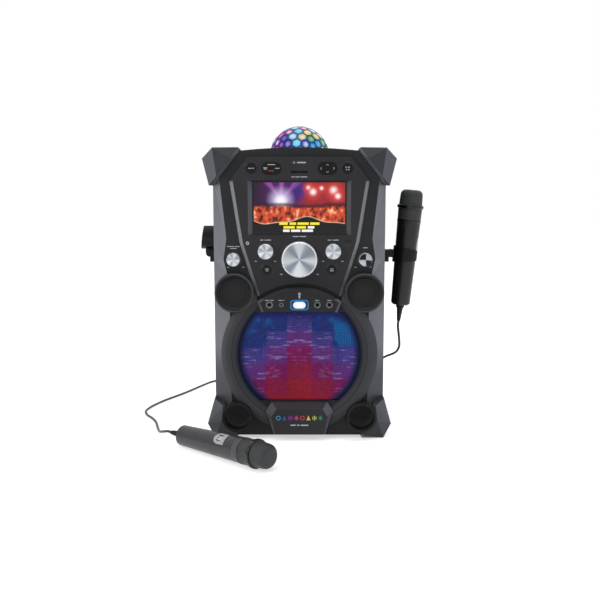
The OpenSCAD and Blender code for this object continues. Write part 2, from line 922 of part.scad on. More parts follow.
// Motor base with a post that the lens turns on, and six lamps
engine_z = cup_floor_z + cup_t;
dome_post_r = 22;
module dome_light_engine() {
    color([0.7, 0.7, 0.72])
    union() {
        translate([0, 0, engine_z])
            cylinder(r = 44, h = 3);
        translate([0, 0, engine_z])
            cylinder(r = dome_post_r + 6, h = dome_rim_z - engine_z - 0.3);
        translate([0, 0, engine_z])
            cylinder(r = dome_post_r, h = dome_rim_z - engine_z + 9);
        for (a = [0 : 60 : 359])
            rotate([0, 0, a])
                translate([14, 0, dome_rim_z + 8])
                    cylinder(r = 3, h = 5);
    }
}

// Rotating lens: a spherical cap on a floor that turns round the post
module dome_lens() {
    inner = dome_r - dome_t;
    color([0.7, 0.75, 0.95])
    difference() {
        union() {
            difference() {
                translate([0, 0, dome_z])
                    sphere(r = dome_r, $fn = 128);
                translate([0, 0, dome_z])
                    sphere(r = inner, $fn = 128);
                translate([0, 0, dome_rim_z - 2 * dome_r])
                    cylinder(r = 2 * dome_r, h = 2 * dome_r);
            }
            translate([0, 0, dome_rim_z])
                cylinder(r = inner, h = 2.4);
            translate([0, 0, dome_rim_z])
                cylinder(r = dome_post_r + 3, h = 7);
        }
        translate([0, 0, dome_rim_z - 1])
            cylinder(r = dome_post_r + running, h = 12);
    }
}

module main_board() {
    stalk = 6;
    difference() {
        union() {
            translate([-92, at(board_d), 281])
                cube([184, 1.6, 194]);
            translate([-60, at(board_d), jack_z - 9])
                cube([120, 1.6, 60]);
            for (s = [-1, 1], p = [small_button_at, power_at, pill_at])
                translate([s * p[0] - stalk / 2, at(11.6), p[1] - stalk / 2])
                    cube([stalk, board_d - 11.6 + eps, stalk]);
            translate([-stalk / 2, at(8.6), voice_at[1] - stalk / 2])
                cube([stalk, board_d - 8.6 + eps, stalk]);
            for (s = [-1, 1])
                translate([s * 40 - 15, at(board_d + 1.6) - eps, 340])
                    cube([30, 4, 30]);
        }
        for (x = jack_xs)
            rod(jack_barrel_r + 0.2, at(board_d) - 1, at(board_d) + 3, [x, jack_z]);
    }
}

module power_board() {
    translate([0, rear_y - 100, foot_h + wall])
        union() {
            translate([-60, 0, 6])
                cube([120, 80, 1.6]);
            for (x = [-54, 48], y = [4, 70])
                translate([x, y, 0])
                    cube([6, 6, 6 + eps]);
            translate([-45, 15, 7.5])
                cube([45, 40, 32]);
            translate([20, 20, 7.5])
                cylinder(r = 9, h = 26);
            translate([42, 20, 7.5])
                cylinder(r = 9, h = 26);
        }
}

module circuit_boards() {
    color([0.1, 0.3, 0.16]) {
        main_board();
        power_board();
    }
}

// Chassis of the disc drive with its rails, pins, guide rods and posts
module loader_frame() {
    rail_z = tray_z - 0.3;
    wall_x = -side_wall_x;
    x0 = wall_x + 1;
    x1 = tray_in_x + 8;
    top = tray_z + tray_t;
    rod_z = frame_z + 7;
    color([0.55, 0.56, 0.58])
    union() {
        translate([wall_x, drive_y - bezel_half - 2, frame_z])
            cube([x1 - wall_x, 2 * bezel_half + 18, frame_t]);
        for (s = [-1, 1])
            translate([x0, drive_y + s * (tray_half - 10) - 4, frame_z])
                cube([x1 - x0, 8, rail_z - frame_z]);
        translate([x0, drive_y - tray_half - 4.5, frame_z])
            cube([x1 - x0, 4, top - frame_z]);
        translate([tray_in_x + 2, drive_y - tray_half - 4.5, frame_z])
            cube([6, 2 * tray_half + 9, top - frame_z]);
        for (y = [drive_y - tray_half - 4.5, drive_y + tray_half + 3])
            translate([disc_x - 14, y, frame_z])
                cube([28, 4, bridge_z - frame_z]);
        translate([disc_x, drive_y, frame_z])
            cylinder(r = drive_pin_r, h = 12);
        translate([pinion_x, pinion_y, frame_z])
            cylinder(r = drive_pin_r, h = top - frame_z);
        for (s = [-1, 1])
            translate([disc_x + 14, drive_y + s * 9, rod_z])
                rotate([0, 90, 0])
                    cylinder(r = 1.5, h = x1 - disc_x - 16);
        translate([disc_x + 14, drive_y - 12, frame_z])
            cube([2, 24, rod_z + 2.5 - frame_z]);
    }
}

module clamp_bridge() {
    y0 = drive_y - tray_half - 4.5;
    color([0.35, 0.36, 0.38])
    union() {
        translate([disc_x - 12, y0, bridge_z])
            cube([24, 2 * tray_half + 11.5, 2.5]);
        translate([disc_x, drive_y, bridge_z - 4.5])
            cylinder(r = 14, h = 6);
    }
}

// Trapezoid gaps of the rack along the tray's rear edge, one of them at the pinion
module rack_gaps() {
    high = gear_module * 0.8 + 0.3;
    deep = gear_module * 1.15;
    half = pitch / 4 + 0.12;
    lean = tan(20);
    for (i = [-2 : floor((tray_in_x - pinion_x) / pitch)])
        translate([pinion_x + i * pitch, rack_y, 0])
            polygon([
                [-half - high * lean, high], [-half + deep * lean, -deep],
                [half - deep * lean, -deep], [half + high * lean, high]
            ]);
}

module disc_tray() {
    color([0.1, 0.1, 0.11])
    union() {
        difference() {
            translate([0, 0, tray_z])
                linear_extrude(tray_t)
                    difference() {
                        translate([-side_wall_x, drive_y - tray_half])
                            square([tray_in_x + side_wall_x, 2 * tray_half + gear_module * 0.8]);
                        rack_gaps();
                        translate([disc_x, drive_y])
                            circle(r = hub_slot_r);
                        translate([disc_x, drive_y - hub_slot_r])
                            square([tray_in_x - disc_x + 1, 2 * hub_slot_r]);
                    }
            translate([disc_x, drive_y, disc_floor_z])
                cylinder(r = disc_r + disc_gap, h = 10);
        }
        translate([-half_w, drive_y - bezel_half, bezel_z[0]])
            cube([wall + 0.5, 2 * bezel_half, bezel_z[1] - bezel_z[0]]);
    }
}

// The turntable is drawn lowered, clear of a disc on the tray
module turntable() {
    base_z = frame_z + frame_t + 0.5;
    color([0.3, 0.3, 0.32])
    translate([disc_x, drive_y, base_z])
        difference() {
            union() {
                cylinder(r = hub_r, h = 8);
                cylinder(r = 7.3, h = disc_floor_z - 0.3 - base_z);
            }
            translate([0, 0, -1])
                cylinder(r = drive_pin_r + running, h = 12);
        }
}

module pickup_sled() {
    sled_w = 26;
    sled_l = 22;
    sled_x = disc_x + 16.5;
    color([0.2, 0.2, 0.22])
    difference() {
        union() {
            translate([sled_x, drive_y - sled_w / 2, frame_z + 4.5])
                cube([sled_l, sled_w, 5.5]);
            translate([sled_x + sled_l / 2, drive_y, frame_z + 9])
                cylinder(r = 4, h = 4);
        }
        for (s = [-1, 1])
            translate([disc_x, drive_y + s * 9, frame_z + 7])
                rotate([0, 90, 0])
                    cylinder(r = 1.5 + running, h = 80);
    }
}

// Involute gear outline with one tooth facing the rack
function involute(base, t) = [
    base * (cos(t) + t * PI / 180 * sin(t)), base * (sin(t) - t * PI / 180 * cos(t))
];
function turn(p, a) = [p[0] * cos(a) - p[1] * sin(a), p[0] * sin(a) + p[1] * cos(a)];
function involute_angle(base, r) = sqrt(pow(r / base, 2) - 1) * 180 / PI;
function involute_bearing(base, r) = let (q = involute(base, involute_angle(base, r))) atan2(q[1], q[0]);

module pinion_outline() {
    base = pinion_pitch_r * cos(20);
    tip = pinion_pitch_r + gear_module * 0.8;
    root = pinion_pitch_r - gear_module * 1.2;
    half_tooth = 90 / pinion_teeth - 0.8;
    skew = half_tooth + involute_bearing(base, pinion_pitch_r);
    flank = [
        for (k = [0 : 4])
            let (t = involute_angle(base, base + (tip - base) * k / 4))
                turn(involute(base, t), -skew)
    ];
    tooth = concat(
        [turn([root, 0], -skew)], flank,
        [for (k = [4 : -1 : 0]) [flank[k][0], -flank[k][1]]],
        [turn([root, 0], skew)]
    );
    polygon([for (i = [0 : pinion_teeth - 1]) each [for (q = tooth) turn(q, i * 360 / pinion_teeth - 90)]]);
}

module loading_pinion() {
    color([0.85, 0.82, 0.7])
    translate([pinion_x, pinion_y, tray_z + 0.5])
        linear_extrude(tray_t - 1)
            difference() {
                pinion_outline();
                circle(r = drive_pin_r + running);
            }
}

// Brackets with two ears and a pivot pin, one on each side wall
ear_r = 6;
bracket_low = pivot_z - 15;
module holder_brackets() {
    color([0.13, 0.13, 0.14])
    both_sides()
        union() {
            translate([half_w, -14, bracket_low])
                cube([3, 28, 20]);
            for (y = [-11, 7])
                plate(y, y + 4) {
                    translate([half_w + 1, bracket_low])
                        square([pivot_out - 2, pivot_z + ear_r - bracket_low]);
                    translate([pivot_x, pivot_z])
                        circle(r = ear_r);
                }
            rod(pivot_r, -11, 11, [pivot_x, pivot_z]);
        }
}

// A clip as it points outwards along +X from its pivot. It is open at its far
// side, with a longer arm in front, and lowest there.
module clip() {
    difference() {
        union() {
            rotate([90, 0, 0])
                translate([0, 0, -6.7])
                    cylinder(r = 6.5, h = 13.4);
            translate([0, -6.7, -7])
                cube([arm_len - clip_r - clip_t / 2, 13.4, 14]);
            intersection() {
                translate([arm_len, 0, -clip_h])
                    cylinder(r = clip_r + clip_t, h = 2 * clip_h);
                plate(-60, 60)
                    polygon([
                        [0, -clip_h / 2 - clip_flare], [2 * arm_len, -clip_h / 2 + clip_flare],
                        [2 * arm_len, clip_h / 2 - clip_flare], [0, clip_h / 2 + clip_flare]
                    ]);
            }
        }
        translate([arm_len, 0, -clip_h])
            cylinder(
                r1 = handle_r(clip_s - clip_h) + clip_play,
                r2 = handle_r(clip_s + clip_h) + clip_play,
                h = 2 * clip_h
            );
        translate([arm_len, -12, -clip_h])
            cube([60, 31, 2 * clip_h]);
        rotate([90, 0, 0])
            cylinder(r = pivot_r + running, h = 30, center = true);
    }
}

module holder_clip_left() {
    color([0.11, 0.11, 0.12])
    translate([-pivot_x, 0, pivot_z])
        rotate([0, 90, 0])
            mirror([1, 0, 0])
                clip();
}

module holder_clip_right() {
    color([0.11, 0.11, 0.12])
    translate([pivot_x, 0, pivot_z])
        rotate([0, holder_tilt, 0])
            clip();
}

module case_screws() {
    color([0.4, 0.4, 0.42])
    both_sides()
        for (p = screw_places) {
            rod(screw_head_r, seam_y + 6, seam_y + 6 + screw_head_h, p);
            rod(screw_r, seam_y - 14, seam_y + 6.1, p);
        }
}

module rubber_feet() {
    color([0.08, 0.08, 0.08])
    both_sides()
        translate([half_w - 32, rear_y - 40, 0])
            cylinder(r1 = 11, r2 = 13, h = foot_h);
}

module potentiometer(p, front) {
    difference() {
        union() {
            rod(pot_r, at(inner_d), at(board_d), p);
            rod(bush_r, at(front), at(inner_d + 1), p);
        }
        rod(spindle_r + running, at(front - 1), at(board_d - 3), p);
    }
}

module potentiometers() {
    color([0.5, 0.5, 0.52])
    union() {
        potentiometer(master_at, 0);
        for (s = [-1, 1]) {
            potentiometer([s * volume_at[0], volume_at[1]], 0);
            potentiometer([s * outer_at[0], outer_at[1]], face_d);
        }
    }
}

module rear_sockets() {
    xs = [-40, -22, -4];
    color([0.18, 0.18, 0.19])
    difference() {
        union() {
            translate([-socket_plate[0] / 2, rear_y - wall, socket_z - socket_plate[1] / 2])
                cube([socket_plate[0], wall - 0.6, socket_plate[1]]);
            for (x = xs)
                rod(5.2, rear_y - wall, rear_y + 6, [x, socket_z]);
            rod(6.5, rear_y - 14, rear_y - 1, [38, socket_z]);
        }
        for (x = xs)
            rod(1.8, rear_y - 2, rear_y + 7, [x, socket_z]);
        difference() {
            rod(3.2, rear_y - 10, rear_y + 1, [38, socket_z]);
            rod(1.2, rear_y - 11, rear_y + 2, [38, socket_z]);
        }
        translate([10, rear_y - 1.6, socket_z - 3])
            cube([15, 3, 6]);
    }
}

// A knob with a chamfered face, a pointer notch and a spindle that runs in its bush
module knob(p, r, h, front) {
    y0 = at(front - 0.6 - h);
    end = at(board_d - 4);
    difference() {
        turned(p, [
            [0, y0], [r - 2, y0], [r - 0.4, y0 + 1.6], [r, y0 + h],
            [spindle_r, y0 + h], [spindle_r, end], [0, end]
        ]);
        translate([p[0] - 0.5, y0 - 1, p[1] + r * 0.7])
            cube([1, 1.8, r]);
    }
}

module master_knob() {
    color([0.8, 0.81, 0.83])
        knob(master_at, master_r, master_h, 0);
}

module mic_1_knob() {
    color([0.75, 0.76, 0.78])
        knob([-volume_at[0], volume_at[1]], volume_r, knob_h, 0);
}

module mic_2_knob() {
    color([0.75, 0.76, 0.78])
        knob(volume_at, volume_r, knob_h, 0);
}

module instrument_knob() {
    color([0.75, 0.76, 0.78])
        knob([-outer_at[0], outer_at[1]], outer_r, knob_h, face_d);
}

module echo_knob() {
    color([0.75, 0.76, 0.78])
        knob(outer_at, outer_r, knob_h, face_d);
}

// A button's cap, its wider flange behind the panel and its plunger
module button(front, back) {
    plate(at(front), at(back) + eps)
        children(0);
    plate(at(back), at(back + flange_t))
        children(1);
    plate(at(back + flange_t) - eps, at(back + flange_t + 2))
        children(2);
}

module round_button(p, r) {
    button(-0.8, face_d + 0.1) {
        translate(p)
            circle(r = r);
        translate(p)
            circle(r = r + flange_extra - 0.2);
        translate(p)
            circle(r = 2);
    }
}

module pill_button(p) {
    button(-0.8, face_d + 0.1) {
        translate(p)
            pill(pill_w, pill_h);
        translate(p)
            pill(pill_w + 2 * flange_extra - 0.4, pill_h + 2 * flange_extra - 0.4);
        translate(p)
            circle(r = 2);
    }
}

module power_button() {
    color([0.1, 0.1, 0.11])
        round_button([-power_at[0], power_at[1]], button_r);
}

module play_button() {
    color([0.1, 0.1, 0.11])
        round_button(power_at, button_r);
}

module preset_button_left() {
    color([0.1, 0.1, 0.11])
        round_button([-small_button_at[0], small_button_at[1]], small_button_r);
}

module preset_button_right() {
    color([0.1, 0.1, 0.11])
        round_button(small_button_at, small_button_r);
}

module function_button() {
    color([0.1, 0.1, 0.11])
        pill_button([-pill_at[0], pill_at[1]]);
}

module direction_pad() {
    color([0.1, 0.1, 0.11])
        pill_button(pill_at);
}

module voice_button() {
    color([0.95, 0.97, 1])
        button(jack_front - 2, face_d - 2.9) {
            translate(voice_at)
                pill(voice_w, voice_h);
            translate(voice_at)
                pill(voice_w + 2 * flange_extra - 0.4, voice_h + 2 * flange_extra - 0.4);
            translate(voice_at)
                circle(r = 2);
        }
}

// Radius of a microphone's handle at a station
function handle_r(s) = mic_tail_r + (mic_top_r - mic_tail_r) * s / collar_s;

// A microphone along +Z from its tail, with its switch facing +X
module mic_body() {
    difference() {
        rotate_extrude()
            polygon([
                [0, -relief_len], [cord_r + 0.7, -relief_len], [relief_r, -6], [relief_r + 1.5, -5],
                [relief_r + 1.5, 0], [mic_tail_r - 3, 0], [mic_tail_r, 3], [handle_r(clip_s), clip_s],
                [handle_r(clip_s) - 0.4, clip_s + 0.4], [handle_r(clip_s) - 0.4, clip_s + 1.2],
                [handle_r(clip_s), clip_s + 1.6], [mic_top_r, collar_s], [mic_top_r + 0.5, collar_s + 1],
                [mic_top_r + 0.5, band_s], [0, band_s]
            ]);
        translate([switch_flat, -20, switch_s - switch_half])
            cube([10, 40, 2 * switch_half]);
        translate([switch_flat - 3, -4.6, switch_s - 4.6])
            cube([10, 9.2, 9.2]);
    }
}

module mic_head() {
    corner = 9;
    rotate_extrude()
        polygon(concat(
            [[0, band_s], [mic_top_r, band_s], [mic_top_r + 0.6, rim_s], [mic_rim_r - 0.8, rim_s],
            [mic_rim_r, rim_s + 1], [mic_rim_r, rim_s + rim_w - 1], [mic_rim_r - 1, rim_s + rim_w],
            [mic_head_r, rim_s + rim_w]],
            [for (a = [0 : 15 : 90]) [
                mic_head_r - corner - 1 + corner * cos(a), mic_len - corner + corner * sin(a)
            ]],
            [[0, mic_len]]
        ));
}

module mic_switch() {
    translate([switch_flat - 1.8, -4.3, switch_s - 4.3])
        cube([3, 8.6, 8.6]);
}

module left_mic_place() {
    translate(left_tail)
        rotate([0, 0, left_bearing])
            rotate([0, 90 - left_rise, 0])
                rotate([0, 0, 180 + left_roll])
                    children();
}

module right_mic_place() {
    translate(right_tail)
        rotate([0, holder_tilt, 0])
            children();
}

module mic_left_body() {
    color([0.3, 0.3, 0.32])
        left_mic_place()
            mic_body();
}

module mic_left_head() {
    color([0.1, 0.1, 0.1])
        left_mic_place()
            mic_head();
}

module mic_left_switch() {
    color([0.5, 0.5, 0.53])
        left_mic_place()
            mic_switch();
}

module mic_right_body() {
    color([0.15, 0.15, 0.16])
        right_mic_place()
            mic_body();
}

module mic_right_head() {
    color([0.1, 0.1, 0.1])
        right_mic_place()
            mic_head();
}

module mic_right_switch() {
    color([0.5, 0.5, 0.53])
        right_mic_place()
            mic_switch();
}

// A smooth curve through chosen points, a few steps between each two
function blend_point(a, b, c, d, t) =
    0.5 * ((2 * b) + (c - a) * t + (2 * a - 5 * b + 4 * c - d) * t * t + (3 * b - a - 3 * c + d) * t * t * t);
function smooth(route, steps) = concat(
    [
        for (i = [0 : len(route) - 2], k = [0 : steps - 1])
            blend_point(
                route[max(i - 1, 0)], route[i], route[i + 1], route[min(i + 2, len(route) - 1)], k / steps
            )
    ],
    [route[len(route) - 1]]
);
function length_of(line) = sum_of([for (i = [1 : len(line) - 1]) norm(line[i] - line[i - 1])]);
function sum_of(list, i = 0) = i >= len(list) ? 0 : list[i] + sum_of(list, i + 1);
function unit(v) = v / norm(v);

// A closed tube of several sides along a line. The side vector must never lie along the line.
module tube(line, r, sides, reference) {
    n = len(line);
    points = [
        for (i = [0 : n - 1])
            let (
                t = unit(line[min(i + 1, n - 1)] - line[max(i - 1, 0)]),
                u = unit(cross(t, reference)),
                v = cross(u, t)
            )
                for (k = [0 : sides - 1])
                    line[i] + r * (cos(360 * k / sides) * u + sin(360 * k / sides) * v)
    ];
    walls = [
        for (i = [0 : n - 2], k = [0 : sides - 1])
            let (a = i * sides + k, b = i * sides + (k + 1) % sides)
                each [[a, b, b + sides], [a, b + sides, a + sides]]
    ];
    start = [for (k = [1 : sides - 2]) [0, k + 1, k]];
    finish = [for (k = [1 : sides - 2]) [(n - 1) * sides, (n - 1) * sides + k, (n - 1) * sides + k + 1]];
    polyhedron(points, concat(walls, start, finish));
}

module left_cord() {
    line = smooth(left_route, 3);
    echo(left_cord_mm = length_of(line));
    color([0.12, 0.12, 0.13])
        tube(line, cord_r, 8, [0, 0, 1]);
}

module right_cord() {
    line = smooth(right_route, 3);
    echo(right_cord_mm = length_of(line));
    color([0.12, 0.12, 0.13])
        tube(line, cord_r, 8, [1, 1, 0]);
}

// A coil in two layers: it spirals in, climbs in half a turn and spirals out again
rings_per_loop = 24;
function ease(t) = t <= 0 ? 0 : t >= 1 ? 1 : t * t * (3 - 2 * t);
function coil_radius(t, loops) = coil_r - turn_pitch * loops / 4 + turn_pitch * abs(t - loops / 2);
function coil_height(t, loops) = coil_low + layer_h * ease(2 * (t - loops / 2) + 0.5);
function coil_line(centre, loops, start) = [
    for (i = [0 : loops * rings_per_loop])
        let (t = i / rings_per_loop, a = start + 360 * t, r = coil_radius(t, loops))
            [centre[0] + r * cos(a), centre[1] + r * sin(a), coil_height(t, loops)]
];
function coil_path(centre, loops, start) =
    let (
        turns = coil_line(centre, loops, start),
        heading = [-sin(start), cos(start), 0],
        last = turns[len(turns) - 1]
    )
        concat(
            [turns[0] - cord_d * heading], turns,
            [last + coil_end / 2 * heading, last + coil_end * heading]
        );
// Least distance between points that are more than half a loop apart, less the cord's diameter
function self_gap(line) = min([
    for (i = [0 : len(line) - 1], j = [i + rings_per_loop / 2 : 1 : len(line) - 1]) norm(line[i] - line[j])
]) - cord_d;

module coil(centre, loops, start) {
    line = coil_path(centre, loops, start);
    echo(coil_mm = length_of(line), gap_mm = self_gap(line));
    tube(line, cord_r, 6, [0, 0, 1]);
}

left_start = 180;
right_start = 90;

module left_coil() {
    color([0.12, 0.12, 0.13])
        coil(left_coil_at, left_loops, left_start);
}

module right_coil() {
    color([0.12, 0.12, 0.13])
        coil(right_coil_at, right_loops, right_start);
}

// A plug lying on the floor at the end of its coil
module plug(centre, out, start) {
    e = plug_grip_len;
    t = plug_tip_len;
    color([0.1, 0.1, 0.11])
    translate([centre[0], centre[1], coil_top])
        rotate([0, 0, start])
            translate([out, coil_end, 0])
                rotate([-90, 0, 0])
                    rotate_extrude()
                        polygon([
                            [0, 0], [cord_r + 0.6, 0], [cord_r + 1.8, 9], [plug_grip_r - 1, 10],
                            [plug_grip_r, 11.5], [plug_grip_r, e - 1], [plug_grip_r - 1, e],
                            [plug_tip_r, e], [plug_tip_r, e + t - 8], [plug_tip_r - 0.9, e + t - 7],
                            [plug_tip_r - 0.9, e + t - 5], [plug_tip_r - 0.3, e + t - 3.6],
                            [1, e + t], [0, e + t]
                        ]);
}

module left_plug() {
    plug(left_coil_at, left_coil_out, left_start);
}

module right_plug() {
    plug(right_coil_at, right_coil_out, right_start);
}

// A strap round both layers of a coil, on the side away from its two ends
module cord_tie(centre, loops, start) {
    half_band = turn_pitch * (loops / 4 - 0.5);
    x0 = coil_r - half_band - cord_r - 1;
    x1 = coil_r + half_band + cord_r + 0.4;
    z1 = coil_top + cord_r + 0.05;
    translate([centre[0], centre[1], 0.02])
        rotate([0, 0, start + 180])
            difference() {
                translate([x0 - tie_t, -4, 0])
                    cube([x1 - x0 + 2 * tie_t, 8, z1 + tie_t]);
                translate([x0, -5, tie_t])
                    cube([x1 - x0, 10, z1 - tie_t]);
            }
}

module cord_ties() {
    color([0.05, 0.05, 0.05]) {
        cord_tie(left_coil_at, left_loops, left_start);
        cord_tie(right_coil_at, right_loops, right_start);
    }
}

front_casing();
rear_casing();
top_guards();
corner_feet();
control_panel();
trim_strips();
display_module();
jack_panel();
jack_sockets();
light_ring();
woofer_ring();
light_grille();
led_board();
woofer_driver();
tweeter_rings();
tweeter_drivers();
bass_ports();
nameplate();
dome_ring();
dome_light_engine();
dome_lens();
circuit_boards();
loader_frame();
clamp_bridge();
disc_tray();
turntable();
pickup_sled();
loading_pinion();
holder_brackets();
holder_clip_left();
holder_clip_right();
case_screws();
rubber_feet();
potentiometers();
rear_sockets();
master_knob();
mic_1_knob();
mic_2_knob();
instrument_knob();
echo_knob();
power_button();
function_button();
direction_pad();
play_button();
preset_button_left();
preset_button_right();
voice_button();
mic_left_body();
mic_left_head();
mic_left_switch();
mic_right_body();
mic_right_head();
mic_right_switch();
left_cord();
left_coil();
left_plug();
right_cord();
right_coil();
right_plug();
cord_ties();
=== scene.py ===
"""Finishes, lights, cords and small parts of a karaoke machine with a disc tray.

It is run as a script in Blender 4.5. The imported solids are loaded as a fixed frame, each operator
builds one piece or one group of like pieces round them, and every length is in metres.
"""

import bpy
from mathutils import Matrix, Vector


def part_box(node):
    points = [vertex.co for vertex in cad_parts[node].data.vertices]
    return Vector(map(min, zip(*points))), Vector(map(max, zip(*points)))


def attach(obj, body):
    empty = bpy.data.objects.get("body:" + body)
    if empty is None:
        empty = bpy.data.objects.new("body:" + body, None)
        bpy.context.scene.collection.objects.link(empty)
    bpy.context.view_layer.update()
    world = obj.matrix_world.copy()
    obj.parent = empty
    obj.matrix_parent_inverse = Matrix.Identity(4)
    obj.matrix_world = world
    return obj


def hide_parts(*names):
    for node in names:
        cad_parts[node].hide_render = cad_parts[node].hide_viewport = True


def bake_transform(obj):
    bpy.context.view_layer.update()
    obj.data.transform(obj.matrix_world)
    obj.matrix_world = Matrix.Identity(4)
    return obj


bl_info = {
    "name": "Karaoke machine with disc tray",
    "version": (1, 0, 0),
    "blender": (4, 5, 0),
    "location": "3D View > Sidebar > Karaoke",
    "description": "Builds the finishes, lights, cords and small parts of a karaoke machine",
    "category": "Add Mesh",
}

import math
import random
from functools import cache
from math import cos, pi, radians, sin

import bmesh
import bpy
from bpy.props import FloatProperty, FloatVectorProperty, PointerProperty
from mathutils import Matrix, Vector

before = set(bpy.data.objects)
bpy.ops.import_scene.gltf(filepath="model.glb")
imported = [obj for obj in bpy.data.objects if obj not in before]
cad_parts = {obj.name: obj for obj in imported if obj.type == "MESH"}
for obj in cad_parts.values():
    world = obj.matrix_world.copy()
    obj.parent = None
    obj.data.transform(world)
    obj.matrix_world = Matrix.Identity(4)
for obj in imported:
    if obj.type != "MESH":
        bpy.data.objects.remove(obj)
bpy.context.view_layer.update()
MM = 0.001
BLACK, WHITE = (0, 0, 0, 1), (1, 1, 1, 1)


# Colours and sizes


def seen(red, green, blue):
    """A colour as it looks on a screen, 0 to 255, in the linear values that Blender keeps."""
    shares = [c / 255 for c in (red, green, blue)]
    linear = [c / 12.92 if c <= 0.04045 else ((c + 0.055) / 1.055) ** 2.4 for c in shares]
    return (*linear, 1.0)


def colour(name, description, *rgb):
    return FloatVectorProperty(
        name=name, description=description, subtype="COLOR", size=4, min=0, max=1, default=seen(*rgb)
    )


def length(name, description, default, low, high):
    return FloatProperty(
        name=name, description=description, default=default, min=low, max=high,
        subtype="DISTANCE", unit="LENGTH", precision=5,
    )


class KaraokeColours(bpy.types.PropertyGroup):
    """Colours that a user would change"""

    casing: colour("Casing", "Moulded front and rear casings", 35, 36, 38)
    panel: colour("Panel", "Control panel, jack panel and nameplate", 43, 43, 46)
    # The facets' light tone is partly grey paint and partly painted sheen from the side light.
    facet: colour("Facets", "Painted facets beside the front face", 119, 121, 128)
    guard: colour("Guards", "Corner guards and corner feet", 52, 54, 58)
    strip: colour("Strips", "Sloping strips beside the control panel", 134, 136, 141)
    # The button tone also colours the black rings of painted shadow round the knobs.
    button: colour("Buttons", "Button caps, seats and clips", 17, 17, 18)
    legend: colour("Legends", "Printed marks beside the controls", 178, 182, 190)
    ring_light: colour("Ring light", "Lit ring round the voice button", 29, 106, 167)
    handle_grey: colour("Floor handle", "Handle of the microphone on the floor", 66, 65, 70)
    handle_black: colour("Held handle", "Handle of the microphone in its holder", 27, 27, 29)


class KaraokeSizes(bpy.types.PropertyGroup):
    """Sizes of the fine pieces"""

    dot_pitch: length("Dot pitch", "Distance between the lit dots of the grille", 0.0029, 0.0025, 0.008)
    dot_radius: length("Dot radius", "Radius of one lit dot", 0.00105, 0.0008, 0.003)
    weave_pitch: length("Mesh pitch", "Distance between the wires of the microphone heads", 0.0019, 0.0008,
                        0.003)
    print_height: length("Print height", "Thickness of the printed marks", 0.00008, 0.00003, 0.0003)
    facet_gap: length("Facet groove", "Depth of the grooves between the dome's facets", 0.0009, 0.0003,
                      0.002)
    edge_round: length("Edge rounding", "Radius that softens the moulded edges", 0.0009, 0.0003, 0.002)


def colours():
    return bpy.context.scene.karaoke_colours


def sizes():
    return bpy.context.scene.karaoke_sizes


# Node trees


class Wire:
    """A socket that takes part in ordinary arithmetic. Each step adds a Math node."""

    def __init__(self, graph, socket):
        self.graph, self.socket = graph, socket

    def other(self, name):
        return Wire(self.graph, self.socket.node.outputs[name])

    def __add__(self, b):
        return self.graph.math("ADD", self, b)

    def __sub__(self, b):
        return self.graph.math("SUBTRACT", self, b)

    def __mul__(self, b):
        return self.graph.math("MULTIPLY", self, b)

    def __truediv__(self, b):
        return self.graph.math("DIVIDE", self, b)

    def __pow__(self, b):
        return self.graph.math("POWER", self, b)

    def __neg__(self):
        return self * -1

    def __rsub__(self, a):
        return self.graph.math("SUBTRACT", a, self)

    def __rtruediv__(self, a):
        return self.graph.math("DIVIDE", a, self)

    __radd__, __rmul__ = __add__, __mul__

    def __gt__(self, b):
        return self.graph.math("GREATER_THAN", self, b)

    def __lt__(self, b):
        return self.graph.math("LESS_THAN", self, b)


class Graph:
    """A node tree that is written as expressions"""

    def __init__(self, tree):
        self.tree = tree

    def node(self, kind, settings=None, sockets=None, output=0):
        """Adds a node: its settings first, then the values or links of its sockets."""
        made = self.tree.nodes.new(kind)
        for key, value in (settings or {}).items():
            if key == "stops":
                self.set_stops(made.color_ramp, value)
            else:
                setattr(made, key, value)
        for key, value in (sockets or {}).items():
            if isinstance(value, Wire):
                self.tree.links.new(value.socket, made.inputs[key])
            else:
                made.inputs[key].default_value = value
        return Wire(self, made.outputs[output]) if made.outputs else None

    @staticmethod
    def set_stops(ramp, stops):
        while len(ramp.elements) < len(stops):
            ramp.elements.new(0.5)
        for element, (place, shade) in zip(ramp.elements, stops):
            element.position, element.color = place, shade

    def math(self, operation, *values, clamp=False):
        return self.node(
            "ShaderNodeMath", {"operation": operation, "use_clamp": clamp}, dict(enumerate(values))
        )

    def vector(self, operation, *values, output=0):
        return self.node("ShaderNodeVectorMath", {"operation": operation}, dict(enumerate(values)), output)

    def limit(self, value):
        return self.math("ADD", value, 0, clamp=True)

    def step(self, value, low, high):
        """0 below low, 1 above high, smooth between. With high below low it runs the other way."""
        return self.node(
            "ShaderNodeMapRange", {"interpolation_type": "SMOOTHSTEP"},
            {"Value": value, "From Min": low, "From Max": high},
        )

    def mix(self, share, a, b, blend="MIX"):
        return self.node(
            "ShaderNodeMix", {"data_type": "RGBA", "blend_type": blend}, {0: share, 6: a, 7: b}, 2
        )

    def parts(self, vector):
        split = self.node("ShaderNodeSeparateXYZ", None, {0: vector})
        return split, split.other("Y"), split.other("Z")

    def join(self, x, y, z):
        return self.node("ShaderNodeCombineXYZ", None, {0: x, 1: y, 2: z})


